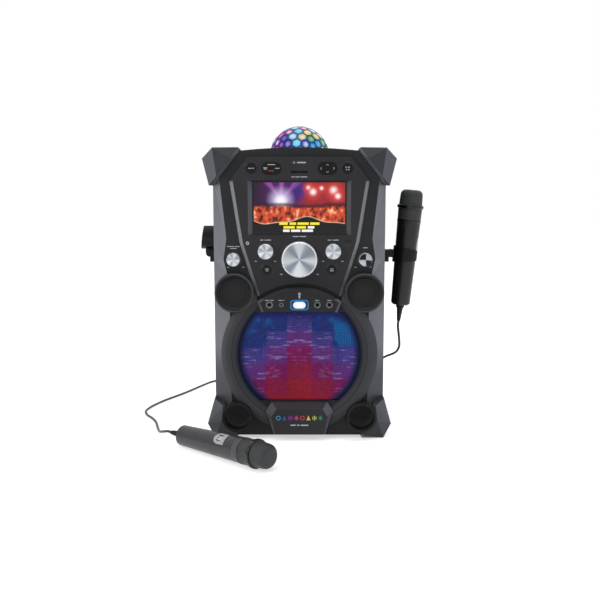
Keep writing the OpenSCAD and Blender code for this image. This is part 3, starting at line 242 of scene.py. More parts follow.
class Finish(Graph):
    """A material. Constants are set on the shader's own sockets, and what varies is wired in."""

    def __init__(self, name, **constants):
        self.material = bpy.data.materials.new(name)
        self.material.use_nodes = True
        super().__init__(self.material.node_tree)
        self.shader = self.tree.nodes["Principled BSDF"]
        for key, value in constants.items():
            self.shader.inputs[key.replace("_", " ")].default_value = value
        self.spot = self.node("ShaderNodeTexCoord", output="Object")

    def wear(self, **links):
        """Wires the shader's sockets and returns the material."""
        for key, value in links.items():
            self.tree.links.new(value.socket, self.shader.inputs[key.replace("_", " ")])
        return self.material

    def noise(self, scale, detail=2, where=None, roughness=0.5):
        return self.node(
            "ShaderNodeTexNoise", None,
            {"Vector": where or self.spot, "Scale": scale, "Detail": detail, "Roughness": roughness},
        )

    def uv(self):
        return self.node("ShaderNodeTexCoord", output="UV")

    def softened(self, radius=None):
        """The surface's normal, rounded over sharp edges."""
        return self.node("ShaderNodeBevel", {"samples": 4}, {"Radius": radius or sizes().edge_round})

    def edges(self, rounded):
        """1 where the surface bends sharply, 0 on its flats."""
        flat = self.node("ShaderNodeNewGeometry", output="Normal")
        return self.limit((1 - self.vector("DOT_PRODUCT", rounded, flat, output=1)) * 9)

    def mottled(self, cloud, tone, low, high):
        """A tone that wanders between two shares of itself."""
        return self.mix(self.step(cloud, 0.3, 0.7), shade(tone, low), shade(tone, high))

    def bump(self, height, distance, strength=1.0, normal=None):
        sockets = {"Height": height, "Distance": distance, "Strength": strength}
        if normal:
            sockets["Normal"] = normal
        return self.node("ShaderNodeBump", None, sockets)


def shade(tone, factor):
    return (*[min(1.0, c * factor) for c in tone[:3]], 1.0)


def moulded(name, tone, rough=0.46, grain=1.0, edge=1.9, gloss=0.2):
    """Spark-eroded plastic: fine grain, a faint mottle, and a painted highlight that makes its edges a little
    brighter.
    """
    f = Finish(name, Specular_IOR_Level=gloss)
    fine = f.noise(1500, 2)
    broad = f.noise(22, 4)
    rounded = f.softened()
    rim = f.edges(rounded)
    mottle = f.mottled(broad, tone, 0.93, 1.07)
    return f.wear(
        # The edges take a brighter copy of the tone: a painted highlight.
        Base_Color=f.mix(rim * 0.5, mottle, shade(tone, edge)),
        Roughness=rough + (broad - 0.5) * 0.16 + (fine - 0.5) * 0.1 - rim * 0.08,
        Normal=f.bump(fine, 0.00004 * grain, 0.55, rounded),
    )


def lean(f):
    """How far a surface of a solid leans from left to right: -1 to 1."""
    return f.parts(f.node("ShaderNodeTexCoord", output="Normal"))[0]


@cache
def casing_finish():
    """Charcoal plastic. Its slanted facets are lighter, partly a grey metal-flake paint and partly painted
    sheen from the side light; painted shade darkens it towards the bottom, and a painted highlight brightens
    its edges.
    """
    tone, paint = colours().casing, colours().facet
    f = Finish("casing_plastic", Specular_IOR_Level=0.2)
    fine, broad = f.noise(1500, 2), f.noise(22, 4)
    flake = f.node("ShaderNodeTexVoronoi", None, {"Vector": f.spot, "Scale": 2600}, "Color")
    rounded = f.softened()
    rim = f.edges(rounded)
    slant = f.math("ABSOLUTE", lean(f))
    depth = f.parts(f.spot)[1]
    # Facet mask: the lighter tone here is partly grey flake paint and partly painted sheen from the side
    # light.
    facet = f.limit((slant > 0.3) * (slant < 0.93) * (depth < -0.0785))
    mottle = f.mottled(broad, tone, 0.92, 1.08)
    # Below about 0.3 m the tone darkens: painted shade towards the bottom.
    mottle = f.mix(f.step(f.parts(f.spot)[2], 0.34, 0.29) * 0.38, mottle, shade(tone, 0.35))
    # Near the foot the facets darken: painted shade.
    foot = f.step(f.parts(f.spot)[2], 0.17, 0.1)
    facet_sheen_tone = f.mix(f.step(broad, 0.25, 0.75), shade(paint, 0.95), shade(paint, 1.05))
    facet_sheen_tone = f.mix(foot * 0.62, facet_sheen_tone, shade(tone, 0.8))
    sparkle = f.mix(0.1, facet_sheen_tone, flake, "OVERLAY")
    # The edges take a brighter copy of the tone: a painted highlight.
    plain = f.mix(rim * 0.5, mottle, shade(tone, 2.0))
    return f.wear(
        Base_Color=f.mix(facet, plain, sparkle),
        Roughness=0.47 + (broad - 0.5) * 0.14 - facet * 0.06 - rim * 0.08,
        Metallic=facet * 0.25,
        Normal=f.bump(fine, 0.00004, 0.5, rounded),
    )


@cache
def panel_finish():
    """Charcoal plastic whose slanted side faces are lighter with painted sheen, in a warmer and a bluer grey
    by which way they turn; painted shade darkens it towards the foot, and a painted highlight brightens its
    edges.
    """
    tone = colours().panel
    f = Finish("panel_plastic", Specular_IOR_Level=0.2)
    fine, broad = f.noise(1500, 2), f.noise(22, 4)
    rounded = f.softened(0.0007)
    rim = f.edges(rounded)
    across = lean(f)
    slant = f.math("ABSOLUTE", across)
    rim_band = f.math("ABSOLUTE", f.parts(f.spot)[2] - 0.2525) < 0.0095
    side = (slant > 0.3) * (slant < 0.93) * (1 - rim_band)
    # The side faces' lighter tone is painted sheen, warmer or bluer by which way each face turns.
    painted_side_sheen = f.mix(f.step(across, -0.2, 0.2), seen(82, 82, 85), seen(94, 96, 106))
    painted_side_sheen = f.mix(f.step(broad, 0.3, 0.7) * 0.3, painted_side_sheen, shade(tone, 2.4))
    mottle = f.mottled(broad, tone, 0.93, 1.07)
    height = f.parts(f.spot)[2]
    # Darker from about 0.31 m down, fading out low on the nameplate: painted shade towards the foot.
    mottle = f.mix(f.step(height, 0.31, 0.262) * f.step(height, 0.1, 0.2) * 0.5, mottle, shade(tone, 0.35))
    return f.wear(
        # The edges take a brighter copy of the tone: a painted highlight.
        Base_Color=f.mix(side, f.mix(rim * 0.6, mottle, shade(tone, 2.1)), painted_side_sheen),
        Roughness=0.44 + (broad - 0.5) * 0.16 + (fine - 0.5) * 0.1 - side * 0.06,
        Normal=f.bump(fine, 0.00003, 0.5, rounded),
    )


@cache
def guard_finish():
    """Harder charcoal plastic of the corner guards, lighter with painted sheen on the faces that lean
    outwards, and with a painted highlight on its edges.
    """
    tone = colours().guard
    f = Finish("guard_plastic", Specular_IOR_Level=0.22)
    fine, broad = f.noise(1500, 2), f.noise(26, 4)
    rounded = f.softened()
    rim = f.edges(rounded)
    side = f.step(f.math("ABSOLUTE", lean(f)), 0.28, 0.5)
    mottle = f.mottled(broad, tone, 0.92, 1.08)
    # Faces that lean outwards take a much lighter tone: painted sheen from the side light.
    guard_side_sheen = f.mix(side * 0.85, mottle, shade(tone, 3.4))
    return f.wear(
        # The edges take a brighter copy of the tone: a painted highlight.
        Base_Color=f.mix(rim * 0.5, guard_side_sheen, shade(tone, 2.6)),
        Roughness=0.42 + (broad - 0.5) * 0.16 + (fine - 0.5) * 0.1,
        Normal=f.bump(fine, 0.00005, 0.55, rounded),
    )


@cache
def ring_finish():
    """The woofer's ring: a satin outer band with painted light, lighter on its sides and on the left, darker
    at its top and bottom; a dark groove; and a navy slope with a painted blue glow from the grille.
    """
    f = Finish("ring_plastic", Emission_Strength=1.0, Specular_IOR_Level=0.22)
    fine, broad = f.noise(1500, 2), f.noise(30, 3)
    rounded = f.softened()
    x, _, z = f.parts(f.spot)
    z = z - GRILLE.z * MM
    reach = f.vector("LENGTH", f.join(x, 0, z), output=1) * (1 / MM)
    # Painted light: the left of the band lighter than the right.
    side = f.mix(f.step(x, -0.03, 0.03), seen(74, 74, 77), seen(62, 66, 73))
    # Painted light: the band's sides lighter, its top and bottom darker.
    band = f.mix(f.step(f.math("ABSOLUTE", z), 0.085, 0.05), seen(42, 42, 44), side)
    band = f.mix(f.step(reach, 129, 117), f.mix(broad * 0.2, band, seen(60, 61, 64)), seen(56, 57, 60))
    tone = f.mix(f.step(reach, 112, 108), seen(52, 52, 55), seen(40, 41, 46))
    tone = f.mix(f.step(reach, 114.2, 116.4), tone, band)
    tone = f.mix(f.step(f.math("ABSOLUTE", reach - 114.4), 1.4, 0.4) * 0.75, tone, seen(24, 24, 26))
    # The inner wall is navy and glows faintly blue: a painted glow of the grille's light.
    wall = f.step(reach, 106.4, 107.6)
    return f.wear(
        Base_Color=f.mix(wall, seen(5, 10, 24), tone),
        Roughness=0.42 + (broad - 0.5) * 0.15,
        Emission_Color=f.mix(wall, shade(seen(10, 22, 52), 0.35), BLACK),
        Normal=f.bump(fine, 0.00004, 0.5, rounded),
    )


@cache
def strip_finish():
    """Satin silver-grey paint with fine flake."""
    tone = colours().strip
    f = Finish("strip_paint", Metallic=0.25)
    flake = f.noise(2600, 1)
    long = f.noise(30, 3)
    return f.wear(
        Base_Color=f.mix(f.step(flake, 0.3, 0.75), shade(tone, 0.85), shade(tone, 1.2)),
        Roughness=0.38 + (long - 0.5) * 0.2,
        Normal=f.bump(flake, 0.00002, 0.4, f.softened(0.0005)),
    )


@cache
def black_finish():
    return moulded("button_plastic", colours().button, 0.33, 0.5, edge=2.6)


@cache
def gloss_finish():
    """Polished black plastic with faint dust and hairlines."""
    f = Finish("gloss_plastic", Coat_Weight=0.25, Coat_Roughness=0.08, Specular_IOR_Level=0.3)
    dust, hair = f.noise(900, 4, roughness=0.7), f.noise(60, 3)
    tone = colours().button
    return f.wear(
        Base_Color=f.mix(f.step(dust, 0.55, 0.9), shade(tone, 0.6), shade(tone, 1.6)),
        Roughness=0.16 + hair * 0.14,
        Normal=f.bump(hair, 0.00002, 0.2, f.softened(0.0004)),
    )


@cache
def jack_finish():
    """Blackened chrome with a painted reflection of the pale floor on the rims that face down."""
    f = Finish("jack_chrome", Metallic=0.9)
    down = f.parts(f.node("ShaderNodeTexCoord", output="Normal"))[2]
    haze, rub = f.noise(300, 3), f.noise(1500, 2)
    # Downward-facing rims turn near white: a painted reflection of the floor.
    bright = f.step(down, 0.1, -0.5)
    return f.wear(
        Base_Color=f.mix(bright, f.mix(haze, seen(58, 59, 63), seen(84, 85, 90)), seen(214, 216, 220)),
        Roughness=0.2 + rub * 0.12, Normal=f.bump(rub, 0.00001, 0.3, f.softened(0.0004)),
    )


@cache
def rubber_finish():
    """Matt rubber with a dusty bloom."""
    f = Finish("rubber", Specular_IOR_Level=0.35)
    fine, bloom = f.noise(1800, 3), f.noise(70, 4)
    return f.wear(
        Base_Color=f.mix(f.step(bloom, 0.4, 0.8), seen(21, 21, 22), seen(37, 37, 38)),
        Roughness=0.66 + (bloom - 0.5) * 0.2,
        Normal=f.bump(fine, 0.00006, 0.6, f.softened(0.0006)),
    )


@cache
def nickel_finish():
    """Bright plating with fine rubbing marks."""
    f = Finish("nickel_plate", Metallic=1.0)
    rub, haze = f.noise(1400, 2), f.noise(120, 3)
    return f.wear(
        Base_Color=f.mix(f.step(haze, 0.3, 0.8), seen(196, 197, 200), seen(150, 151, 156)),
        Roughness=0.17 + rub * 0.12 + haze * 0.08,
        Normal=f.bump(rub, 0.00001, 0.3, f.softened(0.0003)),
    )


@cache
def steel_finish():
    """Rolled steel sheet, brushed along X."""
    f = Finish("brushed_steel", Metallic=0.95)
    x, y, z = f.parts(f.spot)
    brush = f.noise(60, 3, f.join(x * 0.6, y * 40, z * 40))
    return f.wear(
        Base_Color=f.mix(brush, seen(132, 134, 138), seen(176, 178, 181)),
        Roughness=0.34 + (brush - 0.5) * 0.25,
        Normal=f.bump(brush, 0.00002, 0.4, f.softened(0.0004)),
    )


@cache
def turned_finish():
    """Machined knob: bright rim and flank with fine turning lines."""
    f = Finish("knob_aluminium", Metallic=0.75)
    y = f.parts(f.spot)[1]
    lines = f.math("SINE", y * (2 * pi / 0.0005))
    haze = f.noise(200, 3)
    return f.wear(
        Base_Color=f.mix(haze, seen(222, 224, 227), seen(240, 241, 243)),
        Roughness=0.26 + haze * 0.12,
        Normal=f.bump(lines, 0.00002, 0.25, f.softened(0.0007)),
    )


def spun_finish(name, swirls, dark, light, sharp):
    """Spun aluminium face whose light and dark fans are painted reflections. Its map runs round the face and
    outwards, so the fans turn with the knob.
    """
    f = Finish(name, Metallic=0.7)
    turn, out, _ = f.parts(f.uv())
    angle = turn * (2 * pi)
    fans = sum((f.math("COSINE", angle * n + shift) * share for n, shift, share in swirls[1:]),
               f.math("COSINE", angle * swirls[0][0] + swirls[0][1]) * swirls[0][2])
    grooves = f.noise(1, 2, f.join(0, out * 5.2, 0))
    glow = f.step(fans + (grooves - 0.5) * 0.3, -sharp, sharp)
    return f.wear(
        Base_Color=f.mix(glow, dark, light), Roughness=0.3 + grooves * 0.16,
        Normal=f.bump(grooves, 0.00003, 0.5),
    )


@cache
def cone_finish():
    """Pressed paper and cloth of the loudspeakers."""
    f = Finish("speaker_cloth", Specular_IOR_Level=0.3, Sheen_Weight=0.15, Sheen_Roughness=0.5)
    x, _, z = f.parts(f.spot)
    weave = f.math("SINE", x * (2 * pi / 0.0009)) * f.math("SINE", z * (2 * pi / 0.0009))
    fuzz = f.noise(700, 4)
    return f.wear(
        Base_Color=f.mix(f.limit(weave * 0.5 + fuzz * 0.5), seen(13, 13, 14), seen(36, 35, 35)),
        Roughness=0.72 + (fuzz - 0.5) * 0.2,
        Normal=f.bump(weave + fuzz, 0.00012, 0.6),
    )


@cache
def board_finish():
    """Green solder mask with copper tracks and pads."""
    f = Finish("circuit_board", Coat_Weight=0.3, Coat_Roughness=0.2)
    tracks = f.node("ShaderNodeTexVoronoi", {"distance": "MANHATTAN", "feature": "F1"},
                    {"Vector": f.spot, "Scale": 150})
    pads = f.node("ShaderNodeTexVoronoi", {"feature": "F1"}, {"Vector": f.spot, "Scale": 190})
    mask = f.mix(f.step(tracks, 0.42, 0.5), seen(18, 62, 34), seen(32, 92, 50))
    return f.wear(
        Base_Color=f.mix(f.step(pads, 0.22, 0.16), mask, seen(176, 170, 150)),
        Roughness=0.36 + tracks * 0.15,
        Normal=f.bump(tracks, 0.00004, 0.3, f.softened(0.0003)),
    )


@cache
def acetal_finish():
    """Ivory gear plastic with moulding flow lines."""
    f = Finish("gear_plastic", Subsurface_Weight=0.05)
    flow, fine = f.noise(90, 4), f.noise(1500, 2)
    return f.wear(
        Base_Color=f.mix(flow, seen(214, 207, 186), seen(232, 227, 210)),
        Roughness=0.4 + (flow - 0.5) * 0.2,
        Normal=f.bump(fine, 0.00003, 0.4, f.softened(0.0003)),
    )


@cache
def legend_finish():
    """Screen-printed ink, a little uneven."""
    tone = colours().legend
    f = Finish("printed_ink")
    spread = f.noise(1300, 3)
    return f.wear(
        Base_Color=f.mix(f.step(spread, 0.35, 0.8), shade(tone, 0.8), tone),
        Roughness=0.5 + (spread - 0.5) * 0.2,
    )


def lamp_finish(name, tone, strength, rough=0.3):
    """A lit plastic cap whose brightness wanders a little in soft clouds."""
    f = Finish(name, Emission_Strength=strength, Specular_IOR_Level=0.3)
    cloud, fine = f.noise(160, 2), f.noise(1500, 2)
    lit = f.mix(f.step(cloud, 0.3, 0.7), shade(tone, 0.86), shade(tone, 1.06))
    return f.wear(
        Base_Color=lit, Emission_Color=lit, Roughness=rough + (fine - 0.5) * 0.1,
        Normal=f.bump(fine, 0.00002, 0.2, f.softened(0.0004)),
    )


@cache
def port_finish():
    """Moulded port: charcoal lip, and a bore kept grey in its depth by painted light, a lighter tone and a
    faint glow.
    """
    f = Finish("port_plastic", Specular_IOR_Level=0.15, Emission_Strength=1.0)
    depth = f.parts(f.spot)[1]
    fine, broad = f.noise(1500, 2), f.noise(40, 4)
    inside = f.step(depth, PANEL_Y * MM + 0.004, PANEL_Y * MM + 0.012)
    lip = f.mix(broad, seen(26, 26, 27), seen(34, 34, 35))
    return f.wear(
        # The bore's lighter tone and its glow are painted light.
        Base_Color=f.mix(inside, lip, f.mix(broad, seen(78, 78, 80), seen(96, 96, 98))),
        Emission_Color=f.mix(inside, BLACK, f.mix(broad, seen(19, 19, 20), seen(25, 25, 26))),
        Roughness=0.46 + (broad - 0.5) * 0.2, Normal=f.bump(fine, 0.00005, 0.5, f.softened()),
    )


@cache
def wool_finish():
    """Grey damping wool at the inner end of a port, with a faint painted glow."""
    f = Finish("damping_wool", Specular_IOR_Level=0.1, Emission_Strength=1.0)
    tuft, broad = f.noise(700, 4), f.noise(90, 3)
    tone = f.mix(tuft, seen(17, 17, 18), seen(30, 30, 31))
    return f.wear(
        Base_Color=f.mix(broad, seen(60, 60, 62), seen(84, 84, 86)), Emission_Color=tone,
        Roughness=0.85 + (broad - 0.5) * 0.1, Normal=f.bump(tuft, 0.0006, 0.8),
    )


@cache
def ink_finish(name, *rgb):
    f = Finish(name)
    spread = f.noise(1300, 3)
    tone = seen(*rgb)
    return f.wear(
        Base_Color=f.mix(f.step(spread, 0.35, 0.8), shade(tone, 0.85), tone),
        Roughness=0.45 + (spread - 0.5) * 0.2,
    )


# Meshes


FRONT = Matrix.Rotation(radians(90), 4, "X")


def at(x, y, z, turn=None):
    """A place in millimetres. Local Z points out of the front, or where the turn takes it."""
    return Matrix.Translation((x, y, z)) @ (FRONT if turn is None else turn)


def span(node):
    """The lowest and highest corners of a CAD node, in millimetres."""
    return tuple(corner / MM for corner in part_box(node))


def front_of(node):
    """The place at the middle of a node's front face."""
    low, high = span(node)
    return at((low.x + high.x) / 2, low.y, (low.z + high.z) / 2)


def middle(node):
    low, high = span(node)
    return (low + high) / 2


PANEL_Y = span("control_panel")[0].y
CASE_Y = span("control_panel")[1].y
GRILLE = Vector((0, span("light_grille")[0].y, middle("light_grille").z + 4))


class Shape:
    """A bmesh in millimetres, with a map, that ends as one finished piece in metres"""

    def __init__(self):
        self.bm = bmesh.new()
        self.uv = self.bm.loops.layers.uv.new("map")

    def lathe(self, profile, steps=64, place=Matrix(), ink=0, flat=None):
        """Turns (radius, height) points about local Z. The map is turns round by millimetres along,
        and on an end cap of a lathe of radius flat it is a plane."""
        run = [0.0]
        for a, b in zip(profile, profile[1:]):
            run.append(run[-1] + math.dist(a, b))
        rings = []
        for r, h in profile:
            if r < 1e-7:
                rings.append([self.bm.verts.new(place @ Vector((0, 0, h)))])
            else:
                rings.append([
                    self.bm.verts.new(place @ Vector((r * cos(a), r * sin(a), h)))
                    for a in (2 * pi * k / steps for k in range(steps))
                ])
        for i in range(len(rings) - 1):
            low, high = rings[i], rings[i + 1]
            for k in range(steps):
                j = (k + 1) % steps
                if len(low) == 1 and len(high) == 1:
                    continue
                if len(low) == 1:
                    corners = [(low[0], k + 0.5, i), (high[j], k + 1, i + 1), (high[k], k, i + 1)]
                elif len(high) == 1:
                    corners = [(low[k], k, i), (low[j], k + 1, i), (high[0], k + 0.5, i + 1)]
                else:
                    corners = [(low[k], k, i), (low[j], k + 1, i), (high[j], k + 1, i + 1),
                               (high[k], k, i + 1)]
                face = self.bm.faces.new([c[0] for c in corners])
                face.material_index = ink
                level_cap = flat and profile[i][0] < flat / 2 + 1
                for loop, (_, turn, level) in zip(face.loops, corners):
                    loop[self.uv].uv = (turn / steps, run[level])
                    if level_cap:
                        r, a = profile[level][0], 2 * pi * turn / steps
                        loop[self.uv].uv = (r * cos(a) / (2 * pi * flat), r * sin(a))
        return self

    def hoop(self, profile, steps=64, place=Matrix(), ink=0):
        """Turns a closed profile."""
        return self.lathe(profile + profile[:1], steps, place, ink)

    def tube(self, points, radius, sides=12, ink=0, up=Vector((0, 0, 1))):
        """A round tube with closed ends along points, which turns as little as it can."""
        points = [Vector(p) for p in points]
        last = len(points) - 1
        tangents = [(points[min(i + 1, last)] - points[max(i - 1, 0)]).normalized() for i in range(last + 1)]
        side = tangents[0].cross(up).normalized()
        rings, run, along = [], 0.0, []
        for i, (p, t) in enumerate(zip(points, tangents)):
            if i:
                run += (p - points[i - 1]).length
                side = (side - t * side.dot(t)).normalized()
            along.append(run)
            other = t.cross(side)
            size = radius[i] if isinstance(radius, (list, tuple)) else radius
            rings.append([
                self.bm.verts.new(p + size * (cos(a) * side + sin(a) * other))
                for a in (2 * pi * k / sides for k in range(sides))
            ])
        for i in range(len(rings) - 1):
            for k in range(sides):
                j = (k + 1) % sides
                face = self.bm.faces.new((rings[i][k], rings[i][j], rings[i + 1][j], rings[i + 1][k]))
                face.material_index = ink
                for loop, (turn, at) in zip(face.loops, ((k, i), (k + 1, i), (k + 1, i + 1), (k, i + 1))):
                    loop[self.uv].uv = (turn / sides, along[at])
        for ring in (rings[0][::-1], rings[-1]):
            self.bm.faces.new(ring).material_index = ink
        return self

    def prism(self, outline, low, high, place=Matrix(), ink=0, chamfer=0.0):
        """A plate from a closed 2D outline. A chamfer narrows its upper edge."""
        layers = [(low, 0.0)]
        layers += [(high - chamfer, 0.0), (high, chamfer)] if chamfer else [(high, 0.0)]
        centre = sum((Vector(p) for p in outline), Vector((0, 0))) / len(outline)
        rings = []
        for h, inset in layers:
            ring = []
            for i, p in enumerate(outline):
                q = Vector(p)
                if inset:
                    a, b = Vector(outline[i - 1]), Vector(outline[(i + 1) % len(outline)])
                    d = (b - a).normalized()
                    n = Vector((-d.y, d.x))
                    q = q + n * inset * (1 if n.dot(centre - q) > 0 else -1)
                ring.append(self.bm.verts.new(place @ Vector((q.x, q.y, h))))
            rings.append(ring)
        count = len(outline)
        for a, b in zip(rings, rings[1:]):
            for k in range(count):
                j = (k + 1) % count
                self.bm.faces.new((a[k], a[j], b[j], b[k])).material_index = ink
        for ring in (rings[0][::-1], rings[-1]):
            self.bm.faces.new(ring).material_index = ink
        return self

    def band(self, outer, inner, low, high, place=Matrix(), ink=0, chamfer=0.0):
        """A frame between two outlines with as many points each."""
        count = len(outer)

        def ring(points, h, pull=(1, 1)):
            return [self.bm.verts.new(place @ Vector((x * pull[0], y * pull[1], h))) for x, y in points]

        loops = [ring(outer, low), ring(outer, high - chamfer)]
        if chamfer:
            wide, tall = (max(abs(p[i]) for p in outer) for i in (0, 1))
            loops.append(ring(outer, high, (1 - chamfer / wide, 1 - chamfer / tall)))
        loops += [ring(inner, high), ring(inner, low)]
        for a, b in zip(loops, loops[1:] + loops[:1]):
            for k in range(count):
                j = (k + 1) % count
                self.bm.faces.new((a[k], a[j], b[j], b[k])).material_index = ink
        return self

    def stroke(self, points, width, low, high, place=Matrix(), ink=0, closed=False):
        """A flat printed line of even width along 2D points."""
        points = [Vector(p) for p in points]
        n = len(points)
        left, right = [], []
        for i, p in enumerate(points):
            a = points[i - 1] if (i or closed) else p
            b = points[(i + 1) % n] if (i < n - 1 or closed) else p
            d = (b - a).normalized()
            across = Vector((-d.y, d.x)) * width / 2
            left.append(p + across)
            right.append(p - across)
        if closed:
            for k in range(n):
                j = (k + 1) % n
                self.prism([left[k], left[j], right[j], right[k]], low, high, place, ink)
            return self
        return self.prism(left + right[::-1], low, high, place, ink)

    def end(self, name, body, *finishes, smooth=35, slot=None):
        """Makes the object, rides it on its body, and returns it."""
        bmesh.ops.remove_doubles(self.bm, verts=self.bm.verts, dist=1e-4)
        bmesh.ops.recalc_face_normals(self.bm, faces=self.bm.faces)
        bmesh.ops.scale(self.bm, vec=(MM, MM, MM), verts=self.bm.verts)
        mesh = bpy.data.meshes.new(name)
        self.bm.to_mesh(mesh)
        self.bm.free()
        return settle(name, mesh, body, *finishes, smooth=smooth, slot=slot)


def settle(name, mesh, body, *finishes, smooth=35, slot=None):
    """Turns a mesh into a piece that rides on a body."""
    for finish in finishes:
        mesh.materials.append(finish)
    mesh.name = name
    mesh.polygons.foreach_set("use_smooth", [smooth > 0] * len(mesh.polygons))
    made = bpy.data.objects.new(name, mesh)
    bpy.context.scene.collection.objects.link(made)
    if 0 < smooth < 180:
        mesh.set_sharp_from_angle(angle=radians(smooth))
    if body:
        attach(made, body)
    return made


def circle(radius, steps=32, centre=(0, 0), start=0.0):
    return [
        (centre[0] + radius * cos(start + 2 * pi * k / steps),
         centre[1] + radius * sin(start + 2 * pi * k / steps))
        for k in range(steps)
    ]


def rounded_box(wide, tall, corner, steps=6, centre=(0, 0)):
    points = []
    for sx, sy, start in ((1, 1, 0), (-1, 1, 90), (-1, -1, 180), (1, -1, 270)):
        for k in range(steps + 1):
            a = radians(start + 90 * k / steps)
            points.append((
                centre[0] + sx * (wide / 2 - corner) + corner * cos(a),
                centre[1] + sy * (tall / 2 - corner) + corner * sin(a),
            ))
    return points


def arc(radius, start, end, steps=16, centre=(0, 0)):
    return [
        (centre[0] + radius * cos(a), centre[1] + radius * sin(a))
        for a in (radians(start + (end - start) * k / steps) for k in range(steps + 1))
    ]


def dress(finish, *nodes):
    """Gives CAD nodes a finish through their own material slots."""
    for name in nodes:
        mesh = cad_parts[name].data
        if not mesh.materials:
            mesh.materials.append(finish)
        for i in range(len(mesh.materials)):
            mesh.materials[i] = finish


# Lit finishes


def blob(f, x, y, cx, cy, reach):
    """1 at a point of a plane, falling smoothly to 0 at a distance from it."""
    return f.step(f.vector("LENGTH", f.join(x - cx, y - cy, 0), output=1), reach, 0)


def cell_light(f, gain):
    """The lamp wall behind the grille: warm cells in a stepped heap, cool cells beside and above it.
    A cell's heat is its row from the top less its column from the middle."""
    place = f.spot
    across, _, z = f.parts(place)
    across, z = f.math("ABSOLUTE", across) * (1 / MM), z * (1 / MM) - GRILLE.z
    column = f.step(across, 17, 25) + f.step(across, 53, 62)
    top, row, pitch = 63.5, 28.5, sizes().dot_pitch
    level = (top - z) * (1 / row)
    whole = f.math("FLOOR", level)
    part = level - whole
    heat = whole + f.step(part, 0.74, 1.0) + part * 0.3 - column + 1
    cloud = f.noise(26, 3)
    line = f.math("FLOOR", z * (MM / pitch) + 0.5)
    streak = f.noise(1, 2, f.join(across * 0.035, line * 3.7, 2.0))
    tone = f.node("ShaderNodeValToRGB", {"stops": (
        (0.0, seen(4, 88, 150)), (0.16, seen(8, 92, 154)), (0.27, seen(34, 52, 128)),
        (0.34, seen(66, 56, 134)),
        (0.5, seen(94, 44, 122)), (0.6, seen(112, 18, 94)), (0.68, seen(122, 8, 82)),
        (0.82, seen(132, 18, 58)),
        (1.0, seen(150, 22, 40)),
    )}, {"Fac": (heat + 1 + (cloud - 0.5) * 0.6) * (1 / 6.2)})
    cool = f.step(heat, 0.9, 0.3)
    tone = f.mix(cool * f.step(cloud, 0.6, 0.46) * 0.85, tone, seen(30, 34, 112))
    pale = f.step(streak, 0.52, 0.66) * f.step(heat, 0.4, 1.2) * f.step(heat, 3.8, 2.4)
    tone = f.mix(pale * 0.34, tone, seen(176, 158, 206))
    tone = f.mix(f.step(z, 56, 70), tone, seen(26, 28, 98))
    reach = f.vector("LENGTH", f.join(across, 0, z), output=1)
    tone = f.mix(f.step(reach, 88, 101), tone, seen(18, 24, 82))
    tone = f.mix(f.step(reach, 98, 101.5), tone, seen(7, 15, 40))
    cell = f.vector("SNAP", f.vector("ADD", place, (pitch / 2,) * 3), (pitch,) * 3)
    chance = f.node("ShaderNodeTexWhiteNoise", None, {"Vector": cell})
    force = (chance * 0.3 + cloud * 0.5 + 0.6) * gain
    return f.mix(1.0, tone, f.join(force, force, force), "MULTIPLY")


@cache
def dot_finish():
    f = Finish("grille_dots", Emission_Strength=1.0, Specular_IOR_Level=0.15)
    light = cell_light(f, 1.0)
    fine = f.noise(1200, 2)
    return f.wear(Base_Color=f.mix(0.8, light, BLACK), Emission_Color=light, Roughness=0.35 + fine * 0.2)


@cache
def plate_finish():
    """Painted steel between the dots, lit by spill from the cells."""
    f = Finish("grille_plate", Emission_Strength=1.0, Specular_IOR_Level=0.15)
    light = cell_light(f, 0.56)
    fine = f.noise(1400, 2)
    return f.wear(
        Base_Color=f.mix(fine, seen(8, 9, 18), seen(14, 15, 26)), Emission_Color=light,
        Roughness=0.5 + (fine - 0.5) * 0.2, Normal=f.bump(fine, 0.00003, 0.4),
    )


